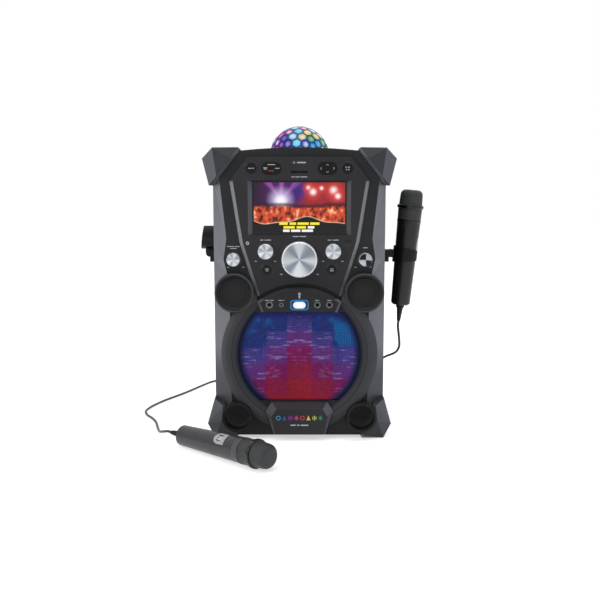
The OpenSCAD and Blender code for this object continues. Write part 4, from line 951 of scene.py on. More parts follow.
@cache
def picture_finish():
    """A stage-light picture: a fan of beams, hot spots, a glowing haze, hills, and rows of word bars."""
    f = Finish("screen_picture", Emission_Strength=1.0, Specular_IOR_Level=0.25, Coat_Weight=0.15,
               Coat_Roughness=0.05)
    x, _, z = f.parts(f.spot)
    u, v = x * (1 / 0.0775), (z - SCREEN.z * MM) * (1 / 0.0435)
    wide = u * 1.78
    cloud = f.noise(34, 3)
    sky = f.mix(f.step(u + (cloud - 0.5) * 0.5, -0.05, 0.22), seen(74, 26, 92), seen(150, 36, 44))
    sky = f.mix(f.step(u, -0.5, -0.98) * 0.85, sky, seen(34, 12, 28))
    sky = f.mix(blob(f, wide, v, 0.0, 0.62, 0.5) * 0.9, sky, seen(44, 32, 128))
    side, rise = u + 0.4, v - 0.3
    fan = f.math("ARCTAN2", side * 1.78, rise)
    rays = f.step(f.math("SINE", fan * 9 + 1.0), -0.2, 0.9) * f.step(f.math("ABSOLUTE", fan), 1.25, 0.5)
    sky = f.mix(rays * f.step(rise, -0.1, 0.15) * 0.55, sky, seen(178, 98, 190))
    sky = f.mix(blob(f, wide, v, -0.71, 0.3, 0.62) * 0.95, sky, seen(226, 206, 250))
    sky = f.mix(blob(f, wide, v, -0.71, 0.24, 0.34), sky, WHITE)
    for cx, cy, reach in ((0.34, 0.76, 0.2), (0.52, 0.6, 0.3), (0.84, 0.74, 0.17), (1.3, 0.66, 0.34),
                          (1.46, 0.44, 0.26)):
        sky = f.mix(blob(f, wide, v, cx, cy, reach * 1.5) * 0.7, sky, seen(236, 74, 60))
        sky = f.mix(blob(f, wide, v, cx, cy, reach * 0.75) ** 1.6, sky, WHITE)
    lick = f.noise(1, 3, f.join(u * 8, 0, v * 3.2), roughness=0.55)
    haze = f.mix(f.step(lick, 0.36, 0.56), seen(70, 16, 18), seen(214, 78, 38))
    haze = f.mix(f.step(lick, 0.56, 0.7), haze, seen(250, 196, 150))
    sky = f.mix(f.step(v + (cloud - 0.5) * 0.3, 0.1, 0.0), sky, haze)
    sky = f.mix(f.step(f.math("ABSOLUTE", v - 0.1 + (cloud - 0.5) * 0.2), 0.12, 0.0) * 0.8, sky,
                seen(50, 16, 26))
    swell = f.math("SINE", u * 4.2 + 0.9) * 0.12 + f.math("SINE", u * 9.5) * 0.04 - 0.5
    sky = f.mix(f.step(f.math("ABSOLUTE", v - swell), 0.05, 0.0) * 0.8, sky, seen(255, 214, 170))
    sky = f.mix(f.step(v - swell, 0.02, -0.02), sky, seen(12, 8, 10))
    for level, bars, tone in (
        (-0.6, ((-0.34, 0.09), (-0.14, 0.07), (0.08, 0.12), (0.33, 0.1)), seen(246, 232, 60)),
        (-0.74, ((-0.22, 0.12), (0.04, 0.1)), seen(246, 232, 60)),
        (-0.74, ((0.25, 0.07),), seen(244, 244, 246)),
        (-0.87, ((-0.28, 0.07), (-0.08, 0.1), (0.17, 0.12)), seen(244, 244, 246)),
    ):
        for centre, half in bars:
            inside = (f.math("ABSOLUTE", u - centre) < half) * (f.math("ABSOLUTE", v - level) < 0.046)
            sky = f.mix(inside, sky, tone)
    edge = f.math("MAXIMUM", f.math("ABSOLUTE", u) - 0.975, f.math("ABSOLUTE", v) - 0.955) > 0
    picture = f.mix(edge, sky, (0.003, 0.003, 0.004, 1))
    smear = f.noise(45, 3)
    return f.wear(
        Base_Color=f.mix(0.96, picture, (0.002, 0.002, 0.003, 1)), Emission_Color=picture,
        Roughness=0.2 + smear * 0.12,
    )


SCREEN = Vector((0, CASE_Y, middle("display_module").z))


# Stage and cords


class KARAOKE_OT_stage(bpy.types.Operator):
    """Adds the camera, the pale floor, the white backdrop and the soft lamps"""

    bl_idname = "karaoke.stage"
    bl_label = "Camera, floor and lamps"

    def execute(self, context):
        scene = context.scene
        scene.view_settings.view_transform = "Standard"
        camera = bpy.data.objects.new("camera", bpy.data.cameras.new("camera"))
        camera.data.lens, camera.data.sensor_width = 50.76, 36
        camera.location = (0.001, -1.512, 0.440)
        camera.rotation_euler = (radians(81.93), 0, 0)
        scene.collection.objects.link(camera)
        scene.camera = camera

        world = bpy.data.worlds.new("studio")
        world.use_nodes = True
        scene.world = world
        g = Graph(world.node_tree)
        camera_ray, mirror = self.rays(g)
        height = g.parts(g.node("ShaderNodeTexCoord", output="Generated"))[2]
        shown = g.math("MAXIMUM", camera_ray, mirror * (g.step(height, 0.05, 0.6) * 0.4 + 0.6))
        g.tree.links.new(g.math("MAXIMUM", shown, 0.5).socket,
                         g.tree.nodes["Background"].inputs["Strength"])
        g.tree.nodes["Background"].inputs["Color"].default_value = (1, 1, 1, 1)

        f = Finish("studio_floor", Roughness=0.9, Specular_IOR_Level=0.1)
        f.shader.inputs["Emission Color"].default_value = (1, 1, 1, 1)
        cloud = f.noise(3, 2)
        f.wear(Base_Color=f.mix(cloud, (0.86, 0.86, 0.86, 1), (0.9, 0.9, 0.9, 1)))
        camera_ray, mirror = self.rays(f)
        f.tree.links.new((f.math("MAXIMUM", camera_ray, mirror) * 0.55).socket,
                         f.shader.inputs["Emission Strength"])
        floor = Shape().prism(circle(7000, 64), -20, 0).end("floor", None, f.material, smooth=0)

        for name, place, size, power, tone in (
            ("left_softbox", (-1.9, -1.7, 1.5), 1.3, 23, (1.0, 0.99, 0.97)),
            ("right_softbox", (2.0, -1.4, 1.3), 1.2, 6, (0.86, 0.93, 1.0)),
            ("overhead", (0.1, -0.6, 2.4), 1.8, 14, (1, 1, 1)),
            ("rear_fill", (0.4, 2.2, 1.8), 1.6, 12, (1, 1, 1)),
        ):
            lamp = bpy.data.objects.new(name, bpy.data.lights.new(name, "AREA"))
            lamp.data.size, lamp.data.energy, lamp.data.color = size, power, tone
            lamp.location = place
            lamp.rotation_euler = (Vector((0, 0, 0.25)) - lamp.location).to_track_quat("-Z", "Y").to_euler()
            scene.collection.objects.link(lamp)
        return {"FINISHED"}

    @staticmethod
    def rays(g):
        """1 where the camera sees a surface itself, and 1 where it is seen in a mirror or through glass."""
        ray = g.node("ShaderNodeLightPath", output="Is Camera Ray")
        return ray, g.math("MAXIMUM", ray.other("Is Glossy Ray"), ray.other("Is Transmission Ray"))


CORD_D = 4.4
COIL_R, COIL_LOW, COIL_LIFT, COIL_PITCH = 26, 3.05, 4.9, 5
LEFT_MIC = (
    Matrix.Translation((-196, -140, 17.009)) @ Matrix.Rotation(radians(-42), 4, "Z")
    @ Matrix.Rotation(radians(90 - 2.075), 4, "Y") @ Matrix.Rotation(radians(215), 4, "Z")
)
RIGHT_MIC = Matrix.Translation((181.955, 0, 217.732)) @ Matrix.Rotation(radians(5), 4, "Y")
LEFT_ROUTE = (
    (-236, -101, 11), (-244, -82, 5.6), (-250, -60, 2.8), (-256, -36, 2.2), (-263, -10, 2.2),
    (-274, 14, 2.2), (-287, 36, 2.2), (-294, 62, 2.2), (-290, 90, 2.2), (-281, 116, 2.2),
    (-270, 142, 2.2), (-255, 170, 2.2), (-240, 198, 2.2), (-226, 228, 2.2), (-210, 264, 2.2),
    (-192, 300, 2.2), (-166, 322, 2.2), (-136, 320, 2.2), (-112, 300, 2.2), (-99, 270, 2.3),
    (-94.5, 240, 2.8), (-94.5, 212.8, 3.05), (-94.5, 208.4, 3.05),
)
RIGHT_ROUTE = (
    (180, 2, 166), (182, 6, 152), (183, 14, 138), (180, 27, 126), (174, 46, 117), (166, 70, 108),
    (159, 94, 97), (153, 116, 82), (148, 136, 62), (143, 154, 40), (138, 172, 20), (132, 190, 7),
    (122, 207, 3.2), (108, 220, 2.9), (92, 229, 3), (82.8, 229, 3.05), (78.4, 229, 3.05),
)


def through(points, steps=3):
    """A smooth line through every point."""
    points = [Vector(p) for p in points]
    last = len(points) - 1
    made = []
    for i in range(last):
        a, b, c, d = (points[max(0, min(last, i + k))] for k in (-1, 0, 1, 2))
        for k in range(steps):
            t = k / steps
            made.append(0.5 * (
                2 * b + (c - a) * t + (2 * a - 5 * b + 4 * c - d) * t**2 + (3 * b - a - 3 * c + d) * t**3
            ))
    return made + [points[last]]


def wound(centre, loops, start, sides=24):
    """The neat coil: loops that move inwards over each other half way, then its straight end."""
    turns = []
    for i in range(loops * sides + 1):
        t = i / sides
        s = max(0.0, min(1.0, 2 * (t - loops / 2) + 0.5))
        r = COIL_R - COIL_PITCH * loops / 4 + COIL_PITCH * abs(t - loops / 2)
        a = radians(start + 360 * t)
        turns.append(Vector((
            centre[0] + r * cos(a), centre[1] + r * sin(a), COIL_LOW + COIL_LIFT * s * s * (3 - 2 * s)
        )))
    heading = Vector((-sin(radians(start)), cos(radians(start)), 0))
    return turns + [turns[-1] + heading * 15.5, turns[-1] + heading * 31]


@cache
def cord_finish():
    """Soft black plastic sheath: a faint draw-mark along it and a silky sheen."""
    f = Finish("cord_sheath", Coat_Weight=0.15, Coat_Roughness=0.35)
    turn, run, _ = f.parts(f.uv())
    drawn = f.noise(1, 3, f.join(turn * 40, run * 0.12, 0))
    fine = f.noise(1800, 2)
    return f.wear(
        Base_Color=f.mix(drawn, seen(20, 20, 21), seen(34, 34, 36)),
        Roughness=0.4 + (drawn - 0.5) * 0.25 + (fine - 0.5) * 0.1,
        Normal=f.bump(drawn + fine * 0.4, 0.00004, 0.4),
    )


class KARAOKE_OT_cords(bpy.types.Operator):
    """Lays the two microphone cords, each one tube from its microphone to the plug at its coil"""

    bl_idname = "karaoke.cords"
    bl_label = "Microphone cords"

    def execute(self, context):
        gap = 30.3
        for side, place, route, coil, bend, carried in (
            ("left", LEFT_MIC, LEFT_ROUTE, ((-56, 204), 10, 180), (-0.263, -0.010, 0.002),
             ("left_plug", "cord_ties")),
            ("right", RIGHT_MIC, RIGHT_ROUTE, ((74, 188), 12, 90), (0.143, 0.154, 0.040), ("right_plug",)),
        ):
            exit_at, lead = place @ Vector((0, 0, -gap)), place @ Vector((0, 0, -gap - 9))
            line = through((exit_at, lead) + route)[:-1] + wound(*coil)
            cord = Shape().tube(line, CORD_D / 2, 14).end(side + "_lead", None, cord_finish(), smooth=60,
                                                          slot="rubber")
            path = [p * MM for p in line]
            real = sum((b - a).length for a, b in zip(path, path[1:]))
            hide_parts(side + "_cord", side + "_coil")
            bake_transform(cord)
        dress(self.plug("left_plug_finish", 1, 173), "left_plug")
        dress(self.plug("right_plug_finish", 0, 43), "right_plug")
        f = Finish("tie_strap", Sheen_Weight=0.4, Sheen_Roughness=0.5)
        loops = f.noise(1300, 3)
        tie = f.wear(
            Base_Color=f.mix(loops, seen(16, 16, 17), seen(52, 52, 54)), Roughness=0.75 + loops * 0.2,
            Normal=f.bump(loops, 0.0002, 0.8),
        )
        dress(tie, "cord_ties")
        return {"FINISHED"}

    @staticmethod
    def plug(name, axis, start):
        """Black ribbed grip, then a plated tip with two dark insulating rings."""
        f = Finish(name)
        along = start - f.parts(f.spot)[axis] * (1 / MM)
        tip = along > 26.2
        rings = (f.math("ABSOLUTE", along - 40) < 0.6) + (f.math("ABSOLUTE", along - 48) < 0.6)
        metal = f.limit(tip - rings)
        rib = f.math("SINE", along * (2 * pi / 2.4))
        fine = f.noise(1500, 2)
        return f.wear(
            Base_Color=f.mix(metal, f.mix(fine, seen(18, 18, 19), seen(30, 30, 31)), seen(190, 190, 194)),
            Metallic=metal, Roughness=0.5 - metal * 0.3 + (fine - 0.5) * 0.12,
            Normal=f.bump(rib * (1 - tip), 0.0003, 0.8),
        )


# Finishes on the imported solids


class KARAOKE_OT_finishes(bpy.types.Operator):
    """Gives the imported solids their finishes"""

    bl_idname = "karaoke.finishes"
    bl_label = "Finishes of the solids"

    def execute(self, context):
        dress(casing_finish(), "front_casing", "rear_casing")
        dress(panel_finish(), "control_panel", "jack_panel", "nameplate")
        dress(guard_finish(), "top_guards", "corner_feet")
        dress(strip_finish(), "trim_strips")
        dress(ring_finish(), "woofer_ring")
        dress(port_finish(), "bass_ports")
        dress(moulded("tweeter_plastic", shade(colours().casing, 1.75), 0.36, 0.6, edge=2.8, gloss=0.3),
              "tweeter_rings")
        dress(black_finish(), "dome_ring", "holder_brackets", "holder_clip_left", "holder_clip_right",
              "power_button", "function_button", "direction_pad", "play_button", "preset_button_left",
              "preset_button_right", "disc_tray", "turntable", "pickup_sled", "rear_sockets")
        dress(gloss_finish(), "display_module")
        dress(steel_finish(), "loader_frame", "clamp_bridge", "dome_light_engine", "potentiometers")
        dress(board_finish(), "led_board", "circuit_boards")
        dress(nickel_finish(), "case_screws", "mic_left_switch", "mic_right_switch")
        dress(jack_finish(), "jack_sockets")
        dress(acetal_finish(), "loading_pinion")
        dress(rubber_finish(), "rubber_feet")
        dress(turned_finish(), "master_knob", "mic_1_knob", "mic_2_knob", "instrument_knob", "echo_knob")
        dress(cone_finish(), "woofer_driver", "tweeter_drivers")
        dress(lamp_finish("ring_light", colours().ring_light, 0.35), "light_ring")
        dress(self.voice_cap(), "voice_button")
        return {"FINISHED"}

    @staticmethod
    def voice_cap():
        """Frosted white cap, brightest in its middle."""
        f = Finish("voice_cap", Emission_Strength=0.3, Specular_IOR_Level=0.3)
        x, _, z = f.parts(f.spot)
        heart = blob(f, x, z * 1.6, 0, VOICE.z * MM * 1.6, 0.0135)
        fine = f.noise(1500, 2)
        lit = f.mix(heart, seen(206, 216, 228), seen(246, 248, 250))
        return f.wear(Base_Color=lit, Emission_Color=lit, Roughness=0.35 + (fine - 0.5) * 0.1)


VOICE = middle("voice_button")


# Front pieces


class KARAOKE_OT_screen(bpy.types.Operator):
    """Puts the lit picture behind the sloping window"""

    bl_idname = "karaoke.screen"
    bl_label = "Screen"

    def execute(self, context):
        place = at(0, SCREEN.y - 0.02, SCREEN.z)
        glass = Shape().prism(rounded_box(154, 86, 1.2), 0, 0.14, place, chamfer=0.05)
        glass.end("screen_glass", "cabinet", picture_finish(), slot="screen")
        return {"FINISHED"}


def generated(name, sockets, build):
    """Runs a geometry node tree once and returns its plain mesh."""
    tree = bpy.data.node_groups.new(name, "GeometryNodeTree")
    tree.interface.new_socket("Geometry", in_out="INPUT", socket_type="NodeSocketGeometry")
    tree.interface.new_socket("Geometry", in_out="OUTPUT", socket_type="NodeSocketGeometry")
    made = {
        key: tree.interface.new_socket(key, in_out="INPUT", socket_type="NodeSocketFloat")
        for key in sockets
    }
    g = Graph(tree)
    source = g.node("NodeGroupInput")
    geometry = build(g, {key: source.other(key) for key in sockets})
    g.node("NodeGroupOutput", None, {"Geometry": geometry})
    carrier = bpy.data.objects.new(name, bpy.data.meshes.new(name))
    bpy.context.scene.collection.objects.link(carrier)
    modifier = carrier.modifiers.new(name, "NODES")
    modifier.node_group = tree
    for key, value in sockets.items():
        modifier[made[key].identifier] = value
    ready = carrier.evaluated_get(bpy.context.evaluated_depsgraph_get())
    mesh = bpy.data.meshes.new_from_object(ready)
    carrier.modifiers.clear()
    bpy.data.objects.remove(carrier)
    if not mesh.polygons:
        raise RuntimeError(name + " made no faces")
    return mesh


class KARAOKE_OT_grille(bpy.types.Operator):
    """Covers the woofer with a lit plate and a field of small lenses"""

    bl_idname = "karaoke.grille"
    bl_label = "Lit grille"

    def execute(self, context):
        low, high = span("light_grille")
        outline = [(x, max(low.z, min(high.z, GRILLE.z + z)) - GRILLE.z) for x, z in circle(108, 144)]
        outline = [p for i, p in enumerate(outline) if math.dist(p, outline[i - 1]) > 0.05]
        plate = Shape().prism(outline, -1.8, 0, at(0, low.y + 0.05, GRILLE.z)).end(
            "grille_plate", "cabinet", plate_finish(), slot="grille"
        )
        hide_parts("light_grille")
        pitch, radius = sizes().dot_pitch, sizes().dot_radius
        mesh = generated(
            "grille_lenses",
            {"Pitch": pitch, "Dot radius": radius, "Reach": 0.1045, "Low": (low.z - GRILLE.z) * MM + 0.002,
             "High": (high.z - GRILLE.z) * MM - 0.002},
            self.lenses,
        )
        settle("grille_lenses", mesh, "cabinet", smooth=60, slot="grille")
        return {"FINISHED"}

    @staticmethod
    def lenses(g, size):
        rows = g.math("FLOOR", size["Reach"] / size["Pitch"])
        count, wide = rows * 2 + 1, rows * size["Pitch"] * 2
        grid = g.node("GeometryNodeMeshGrid", None,
                      {"Size X": wide, "Size Y": wide, "Vertices X": count, "Vertices Y": count})
        where = g.node("GeometryNodeInputPosition")
        level = g.parts(where)[1]
        chosen = (g.vector("LENGTH", where, output=1) < size["Reach"] - size["Dot radius"])
        chosen = chosen * (level > size["Low"]) * (level < size["High"])
        lens = g.node("GeometryNodeMeshIcoSphere", None, {"Radius": size["Dot radius"], "Subdivisions": 1})
        field = g.node("GeometryNodeInstanceOnPoints", None,
                       {"Points": grid, "Selection": chosen, "Instance": lens, "Scale": (1, 1, 0.55)})
        real = g.node("GeometryNodeRealizeInstances", None, {"Geometry": field})
        placed = g.node("GeometryNodeTransform", None, {
            "Geometry": real, "Rotation": (pi / 2, 0, 0),
            "Translation": (0, span("light_grille")[0].y * MM, GRILLE.z * MM),
        })
        return g.node("GeometryNodeSetMaterial", None, {"Geometry": placed, "Material": dot_finish()})


KNOBS = (
    ("master_knob", "master", 30.0), ("mic_1_knob", "mic_1", 13.2), ("mic_2_knob", "mic_2", 13.2),
    ("instrument_knob", "instrument", 11.5), ("echo_knob", "echo", 11.5),
)


class KARAOKE_OT_knobs(bpy.types.Operator):
    """Adds the spun faces with their painted reflection fans, the dark groove behind them, and black rings of
    painted shadow round the five knobs
    """

    bl_idname = "karaoke.knobs"
    bl_label = "Knob faces"

    def execute(self, context):
        light = seen(206, 209, 214)
        spun = spun_finish("spun_face", ((5, 0.6, 0.5), (3, 2.1, 0.35), (8, 1.0, 0.2)), seen(150, 157, 168),
                           seen(216, 219, 224), 0.8)
        broad = spun_finish("broad_face", ((4, 0.1, 0.5), (2, 3.1, 0.2), (7, 1.0, 0.15)),
                            seen(124, 132, 145), light, 0.7)
        split = spun_finish("split_face", ((2, -1.5, 0.8), (5, 1.0, 0.12)), seen(20, 22, 26),
                            seen(176, 182, 192), 0.3)
        shadow_rings = Shape()
        for node, body, radius in KNOBS:
            place = front_of(node)
            inner = radius * 0.9
            face = Shape().hoop([(0, 0.02), (0, 0.14), (inner, 0.14), (inner + 0.25, 0.02)], 96, place)
            # The fans on the knob faces are painted reflections.
            fans = {"master": broad, "echo": split}.get(body, spun)
            face.end(body + "_face", body, fans, smooth=30, slot="knob")
            groove = Shape().hoop([(radius - 0.4, -1.9), (radius + 0.04, -1.85), (radius + 0.08, -1.6),
                                   (radius + 0.04, -1.35), (radius - 0.4, -1.3)], 96, place)
            groove.end(body + "_groove", body, black_finish(), smooth=30, slot="black")
            # Each knob gets a black ring round it: painted shadow.
            base = PANEL_Y if radius > 12 else CASE_Y
            rim = [(radius - 3, -0.05), (radius - 3, 0.3), (radius + 1.5, 0.42), (radius + 2.2, 0.1),
                   (radius + 2.3, -0.05)]
            shadow_rings.hoop(rim, 96, at(place.translation.x, base, place.translation.z))
        shadow_rings.end("knob_shadow_rings", "cabinet", gloss_finish(), smooth=30, slot="black")
        return {"FINISHED"}


def ink_depth():
    return sizes().print_height / MM


def words(shape, x, z, widths, place, tall=1.15, gap=1.3, ink=0):
    """A blank label: a row of short bars, centred."""
    left = x - (sum(widths) + gap * (len(widths) - 1)) / 2
    for wide in widths:
        shape.prism(rounded_box(wide, tall, 0.3, 2, (left + wide / 2, z)), 0, ink_depth(), place, ink)
        left += wide + gap


class KARAOKE_OT_marks(bpy.types.Operator):
    """Prints blank labels beside the controls and generic symbols on the buttons"""

    bl_idname = "karaoke.marks"
    bl_label = "Printed marks"

    def execute(self, context):
        ink = legend_finish()
        self.caps(ink)
        flat, case = at(0, PANEL_Y, 0), at(0, CASE_Y, 0)
        legends = Shape()
        words(legends, 0, 347.4, (10, 11), flat, 1.5)
        words(legends, 0, 445.1, (4.5, 8, 11), flat, 1.4)
        words(legends, 3.4, 468.4, (14.5,), flat, 2.2)
        for size in (1.4, 2.9):
            legends.stroke(arc(size, -48, 48, 8, (-10.4, 468.4)), 0.75, 0, ink_depth(), flat)
        legends.prism(circle(0.75, 12, (-10.6, 468.4)), 0, ink_depth(), flat)
        words(legends, -110, 330.4, (11.5, 8), case, 1.25)
        words(legends, -110, 327.1, (10.8,), case, 1.25)
        words(legends, 110, 328.2, (8,), case, 1.25)
        for angle in (220, -40):
            a = radians(angle)
            words(legends, 39.6 * cos(a), 310 + 39.6 * sin(a), (4.4,), flat, 1.2)
        for x in (-56, 56):
            words(legends, x, 341.5, (5, 1.4, 9), flat, 1.5)
            for dx in (-16.5, 15.6):
                words(legends, x + dx, 306.2, (3.8,), flat, 1.2)
            near = -9.2 if x < 0 else 9.2
            for dx in (near, -1.75 * near):
                words(legends, math.copysign(110, x) + dx, 295.6, (3.6,), case, 1.1)
        legends.end("panel_legends", "cabinet", ink, smooth=0)

        jack = Shape()
        plane = at(0, span("jack_panel")[0].y, 0)
        for x, widths in ((-50, (6.4, 6.4)), (-30, (6, 2)), (30, (4.4, 1.2)), (50, (4.4, 1.6))):
            words(jack, x, 241.4, widths, plane, 1.25)
        jack.prism(circle(2.2, 24, (0, 252.2)), 0, ink_depth(), plane)
        jack.prism([(-1.9, 249.4), (1.9, 249.4), (0.75, 244.3), (-0.75, 244.3)], 0, ink_depth(), plane)
        jack.end("jack_legends", "cabinet", ink, smooth=0)
        return {"FINISHED"}

    @staticmethod
    def caps(ink):
        red = ink_finish("warm_ink", 176, 44, 36)
        for body, node, rows in (
            ("power", "power_button", ((0, 0, (5.2, 3)),)),
            ("play", "play_button", ((0, 1.9, (2.4, 4)),)),
            ("preset_left", "preset_button_left", ((0, 1.4, (6.2,)), (0, -1.6, (4.6,)))),
            ("preset_right", "preset_button_right", ((0, 1.4, (5.4,)), (0, -1.6, (6.4,)))),
            ("function", "function_button", ((0, 6.0, (12.5,)), (-9.9, 0.9, (6.6,)), (-9.9, -1.3, (5,)),
                                             (9.6, 0, (7.4,)))),
        ):
            place, sign = front_of(node), Shape()
            for x, z, widths in rows:
                words(sign, x, z, widths, place, 1.3)
            if body == "play":
                sign.prism([(-2.6, -0.5), (-0.3, -1.9), (-2.6, -3.3)], 0, ink_depth(), place)
                for x in (0.9, 2.4):
                    sign.stroke([(x, -0.5), (x, -3.3)], 0.8, 0, ink_depth(), place)
            if body == "function":
                sign.stroke(arc(1.3, 20, 340, 14, (2.4, -4)), 0.7, 0, ink_depth(), place, 1)
                words(sign, -2.4, -4, (5.4,), place, 1.3, ink=1)
            sign.end(body + "_mark", body, ink, red, smooth=0)
        place, sign = front_of("direction_pad"), Shape()
        for x, z in ((1, 0), (-1, 0), (0, 1), (0, -1)):
            tip = Vector((x * 11.6, z * 6.8))
            back, over = Vector((x, z)) * -2.0, Vector((z, x)) * 1.9
            sign.stroke([tip + back + over, tip, tip + back - over], 0.8, 0, ink_depth(), place)
        sign.end("direction_mark", "direction", ink, smooth=0)


class KARAOKE_OT_panel_parts(bpy.types.Operator):
    """Adds the status lamp, the receiver window, the card contacts and the caps' bezels"""

    bl_idname = "karaoke.panel_parts"
    bl_label = "Small panel parts"

    def execute(self, context):
        place = at(-86.2, PANEL_Y, 336.3)
        lamp = Shape().hoop([(1.4, -0.05), (1.4, 0.35), (2.0, 0.6), (2.7, 0.35), (2.8, -0.05)], 40, place)
        lamp.hoop([(0, 0.25), (0.8, 0.22), (1.4, 0.05), (1.4, -0.05), (0, -0.05)], 32, place, ink=1)
        lamp.end("status_lamp", "cabinet", satin_finish(), gloss_finish(), slot="black")

        place = at(79.9, PANEL_Y, 336.7)
        window = Shape().hoop([(0, 0.24), (4.2, 0.2), (6.1, 0.08), (6.4, -0.05), (0, -0.05)], 64, place)
        window.end("receiver_window", "cabinet", gloss_finish(), slot="black")

        contacts = Shape()
        for k in range(9):
            x = -10.4 + 2.6 * k
            contacts.prism(
                [(x - 0.75, 0), (x + 0.75, 0), (x + 0.75, 8), (x - 0.75, 8)], 0, 0.25,
                Matrix.Translation((0, CASE_Y - 1.5, 450.75)),
            )
        f = Finish("card_contacts", Metallic=1.0)
        haze = f.noise(900, 3)
        gold = f.wear(Base_Color=f.mix(haze, seen(150, 112, 52), seen(206, 168, 92)),
                      Roughness=0.25 + haze * 0.2)
        contacts.end("card_contacts", "cabinet", gold, smooth=0, slot="nickel")

        bezels = Shape()
        for node in ("power_button", "play_button", "preset_button_left", "preset_button_right"):
            low, high = span(node)
            r = (high.x - low.x) / 2
            rim = [(r + 0.3, -0.05), (r + 0.35, 0.22), (r + 0.9, 0.3), (r + 1.3, 0.08), (r + 1.35, -0.05)]
            bezels.hoop(rim, 56, at((low.x + high.x) / 2, PANEL_Y, (low.z + high.z) / 2))
        bezels.end("button_bezels", "cabinet", gloss_finish(), slot="panel")
        return {"FINISHED"}


class KARAOKE_OT_jacks(bpy.types.Operator):
    """Lines the four jacks and puts a dark surround behind each nut"""

    bl_idname = "karaoke.jacks"
    bl_label = "Jack liners"

    def execute(self, context):
        front = span("jack_sockets")[0].y
        height = middle("jack_sockets").z
        shape = Shape()
        for x, nut, bore in ((-50, 6.0, 3.2), (-30, 3.6, 1.8), (30, 5.4, 3.2), (50, 5.4, 3.2)):
            place = at(x, front, height)
            shape.hoop([(bore - 0.02, -0.3), (bore - 0.3, -0.45), (bore - 0.3, -12), (bore - 0.02, -12)],
                       40, place)
            base = at(x, span("jack_panel")[0].y, height)
            shape.hoop([(nut - 0.2, 0), (nut - 0.2, 0.35), (nut + 1.1, 0.3), (nut + 1.5, 0)], 56, base)
        shape.end("jack_liners", "cabinet", gloss_finish(), slot="black")
        return {"FINISHED"}


class KARAOKE_OT_speakers(bpy.types.Operator):
    """Stretches crowned cloth over the two small loudspeakers and rings it"""

    bl_idname = "karaoke.speakers"
    bl_label = "Small loudspeakers"

    def execute(self, context):
        front = span("tweeter_drivers")[0].y
        cloth = Shape()
        for side in (-1, 1):
            place = at(side * TWEETER.x, front, TWEETER.z)
            cloth.hoop([(0, 0.75), (9, 0.66), (17, 0.4), (22.6, 0.12), (22.9, 0.02), (0, 0.02)], 72, place)
            cloth.hoop([(22.6, 0.02), (22.7, 0.45), (23.3, 0.6), (23.6, 0.3), (23.6, 0.02)], 96, place,
                       ink=1)
        cloth.end("tweeter_cloths", "cabinet", cone_finish(), guard_finish(), slot="speaker")

        wool = Shape()
        for side in (-1, 1):
            place = at(side * PORT.x, PORT.y, PORT.z)
            wool.hoop([(0, 0.9), (8, 1.3), (16, 0.9), (21.3, 0.2), (21.3, -0.8), (0, -0.8)], 48, place)
        wool.end("port_wool", "cabinet", wool_finish(), smooth=60, slot="mesh")
        return {"FINISHED"}


TWEETER = Vector((108.6, 0, middle("tweeter_drivers").z))
PORT = Vector((105.2, PANEL_Y + 84, 42))


class KARAOKE_OT_nameplate(bpy.types.Operator):
    """Sets a row of coloured generic shapes in the plate under the woofer"""

    bl_idname = "karaoke.nameplate"
    bl_label = "Coloured marks"

    def execute(self, context):
        place = at(0, span("nameplate")[0].y, 41)
        tones = ((40, 165, 196), (66, 66, 160), (140, 44, 146), (196, 42, 134), (206, 54, 62),
                 (232, 202, 74), (200, 210, 92), (28, 130, 86), (190, 194, 200))
        shape = Shape()
        for i in range(8):
            x = -35.7 + 10.2 * i
            if i % 4 == 0:
                shape.stroke(arc(3.3, 0, 345, 24, (x, 0)), 1.4, 0, 0.25, place, ink=i, closed=True)
            elif i % 4 == 1:
                shape.prism([(x - 3.6, -3.8), (x + 3.6, -3.8), (x, 4.4)], 0, 0.25, place, ink=i,
                            chamfer=0.08)
            elif i % 4 == 2:
                for dx in (-2.7, 0, 2.7):
                    shape.prism(rounded_box(1.5, 8.4 - abs(dx) * 1.2, 0.7, 3, (x + dx, 0)), 0, 0.25, place,
                                ink=i)
            else:
                shape.prism([(x - 3.7, 0), (x, -4.4), (x + 3.7, 0), (x, 4.4)], 0, 0.25, place, ink=i,
                            chamfer=0.08)
        words(shape, 0, -12.5, (9, 4, 13), place, 2.0, 2.2, ink=8)
        inks = [ink_finish(f"plate_ink_{i}", *tone) for i, tone in enumerate(tones)]
        shape.end("plate_marks", "cabinet", *inks, smooth=0)
        return {"FINISHED"}


# Dome


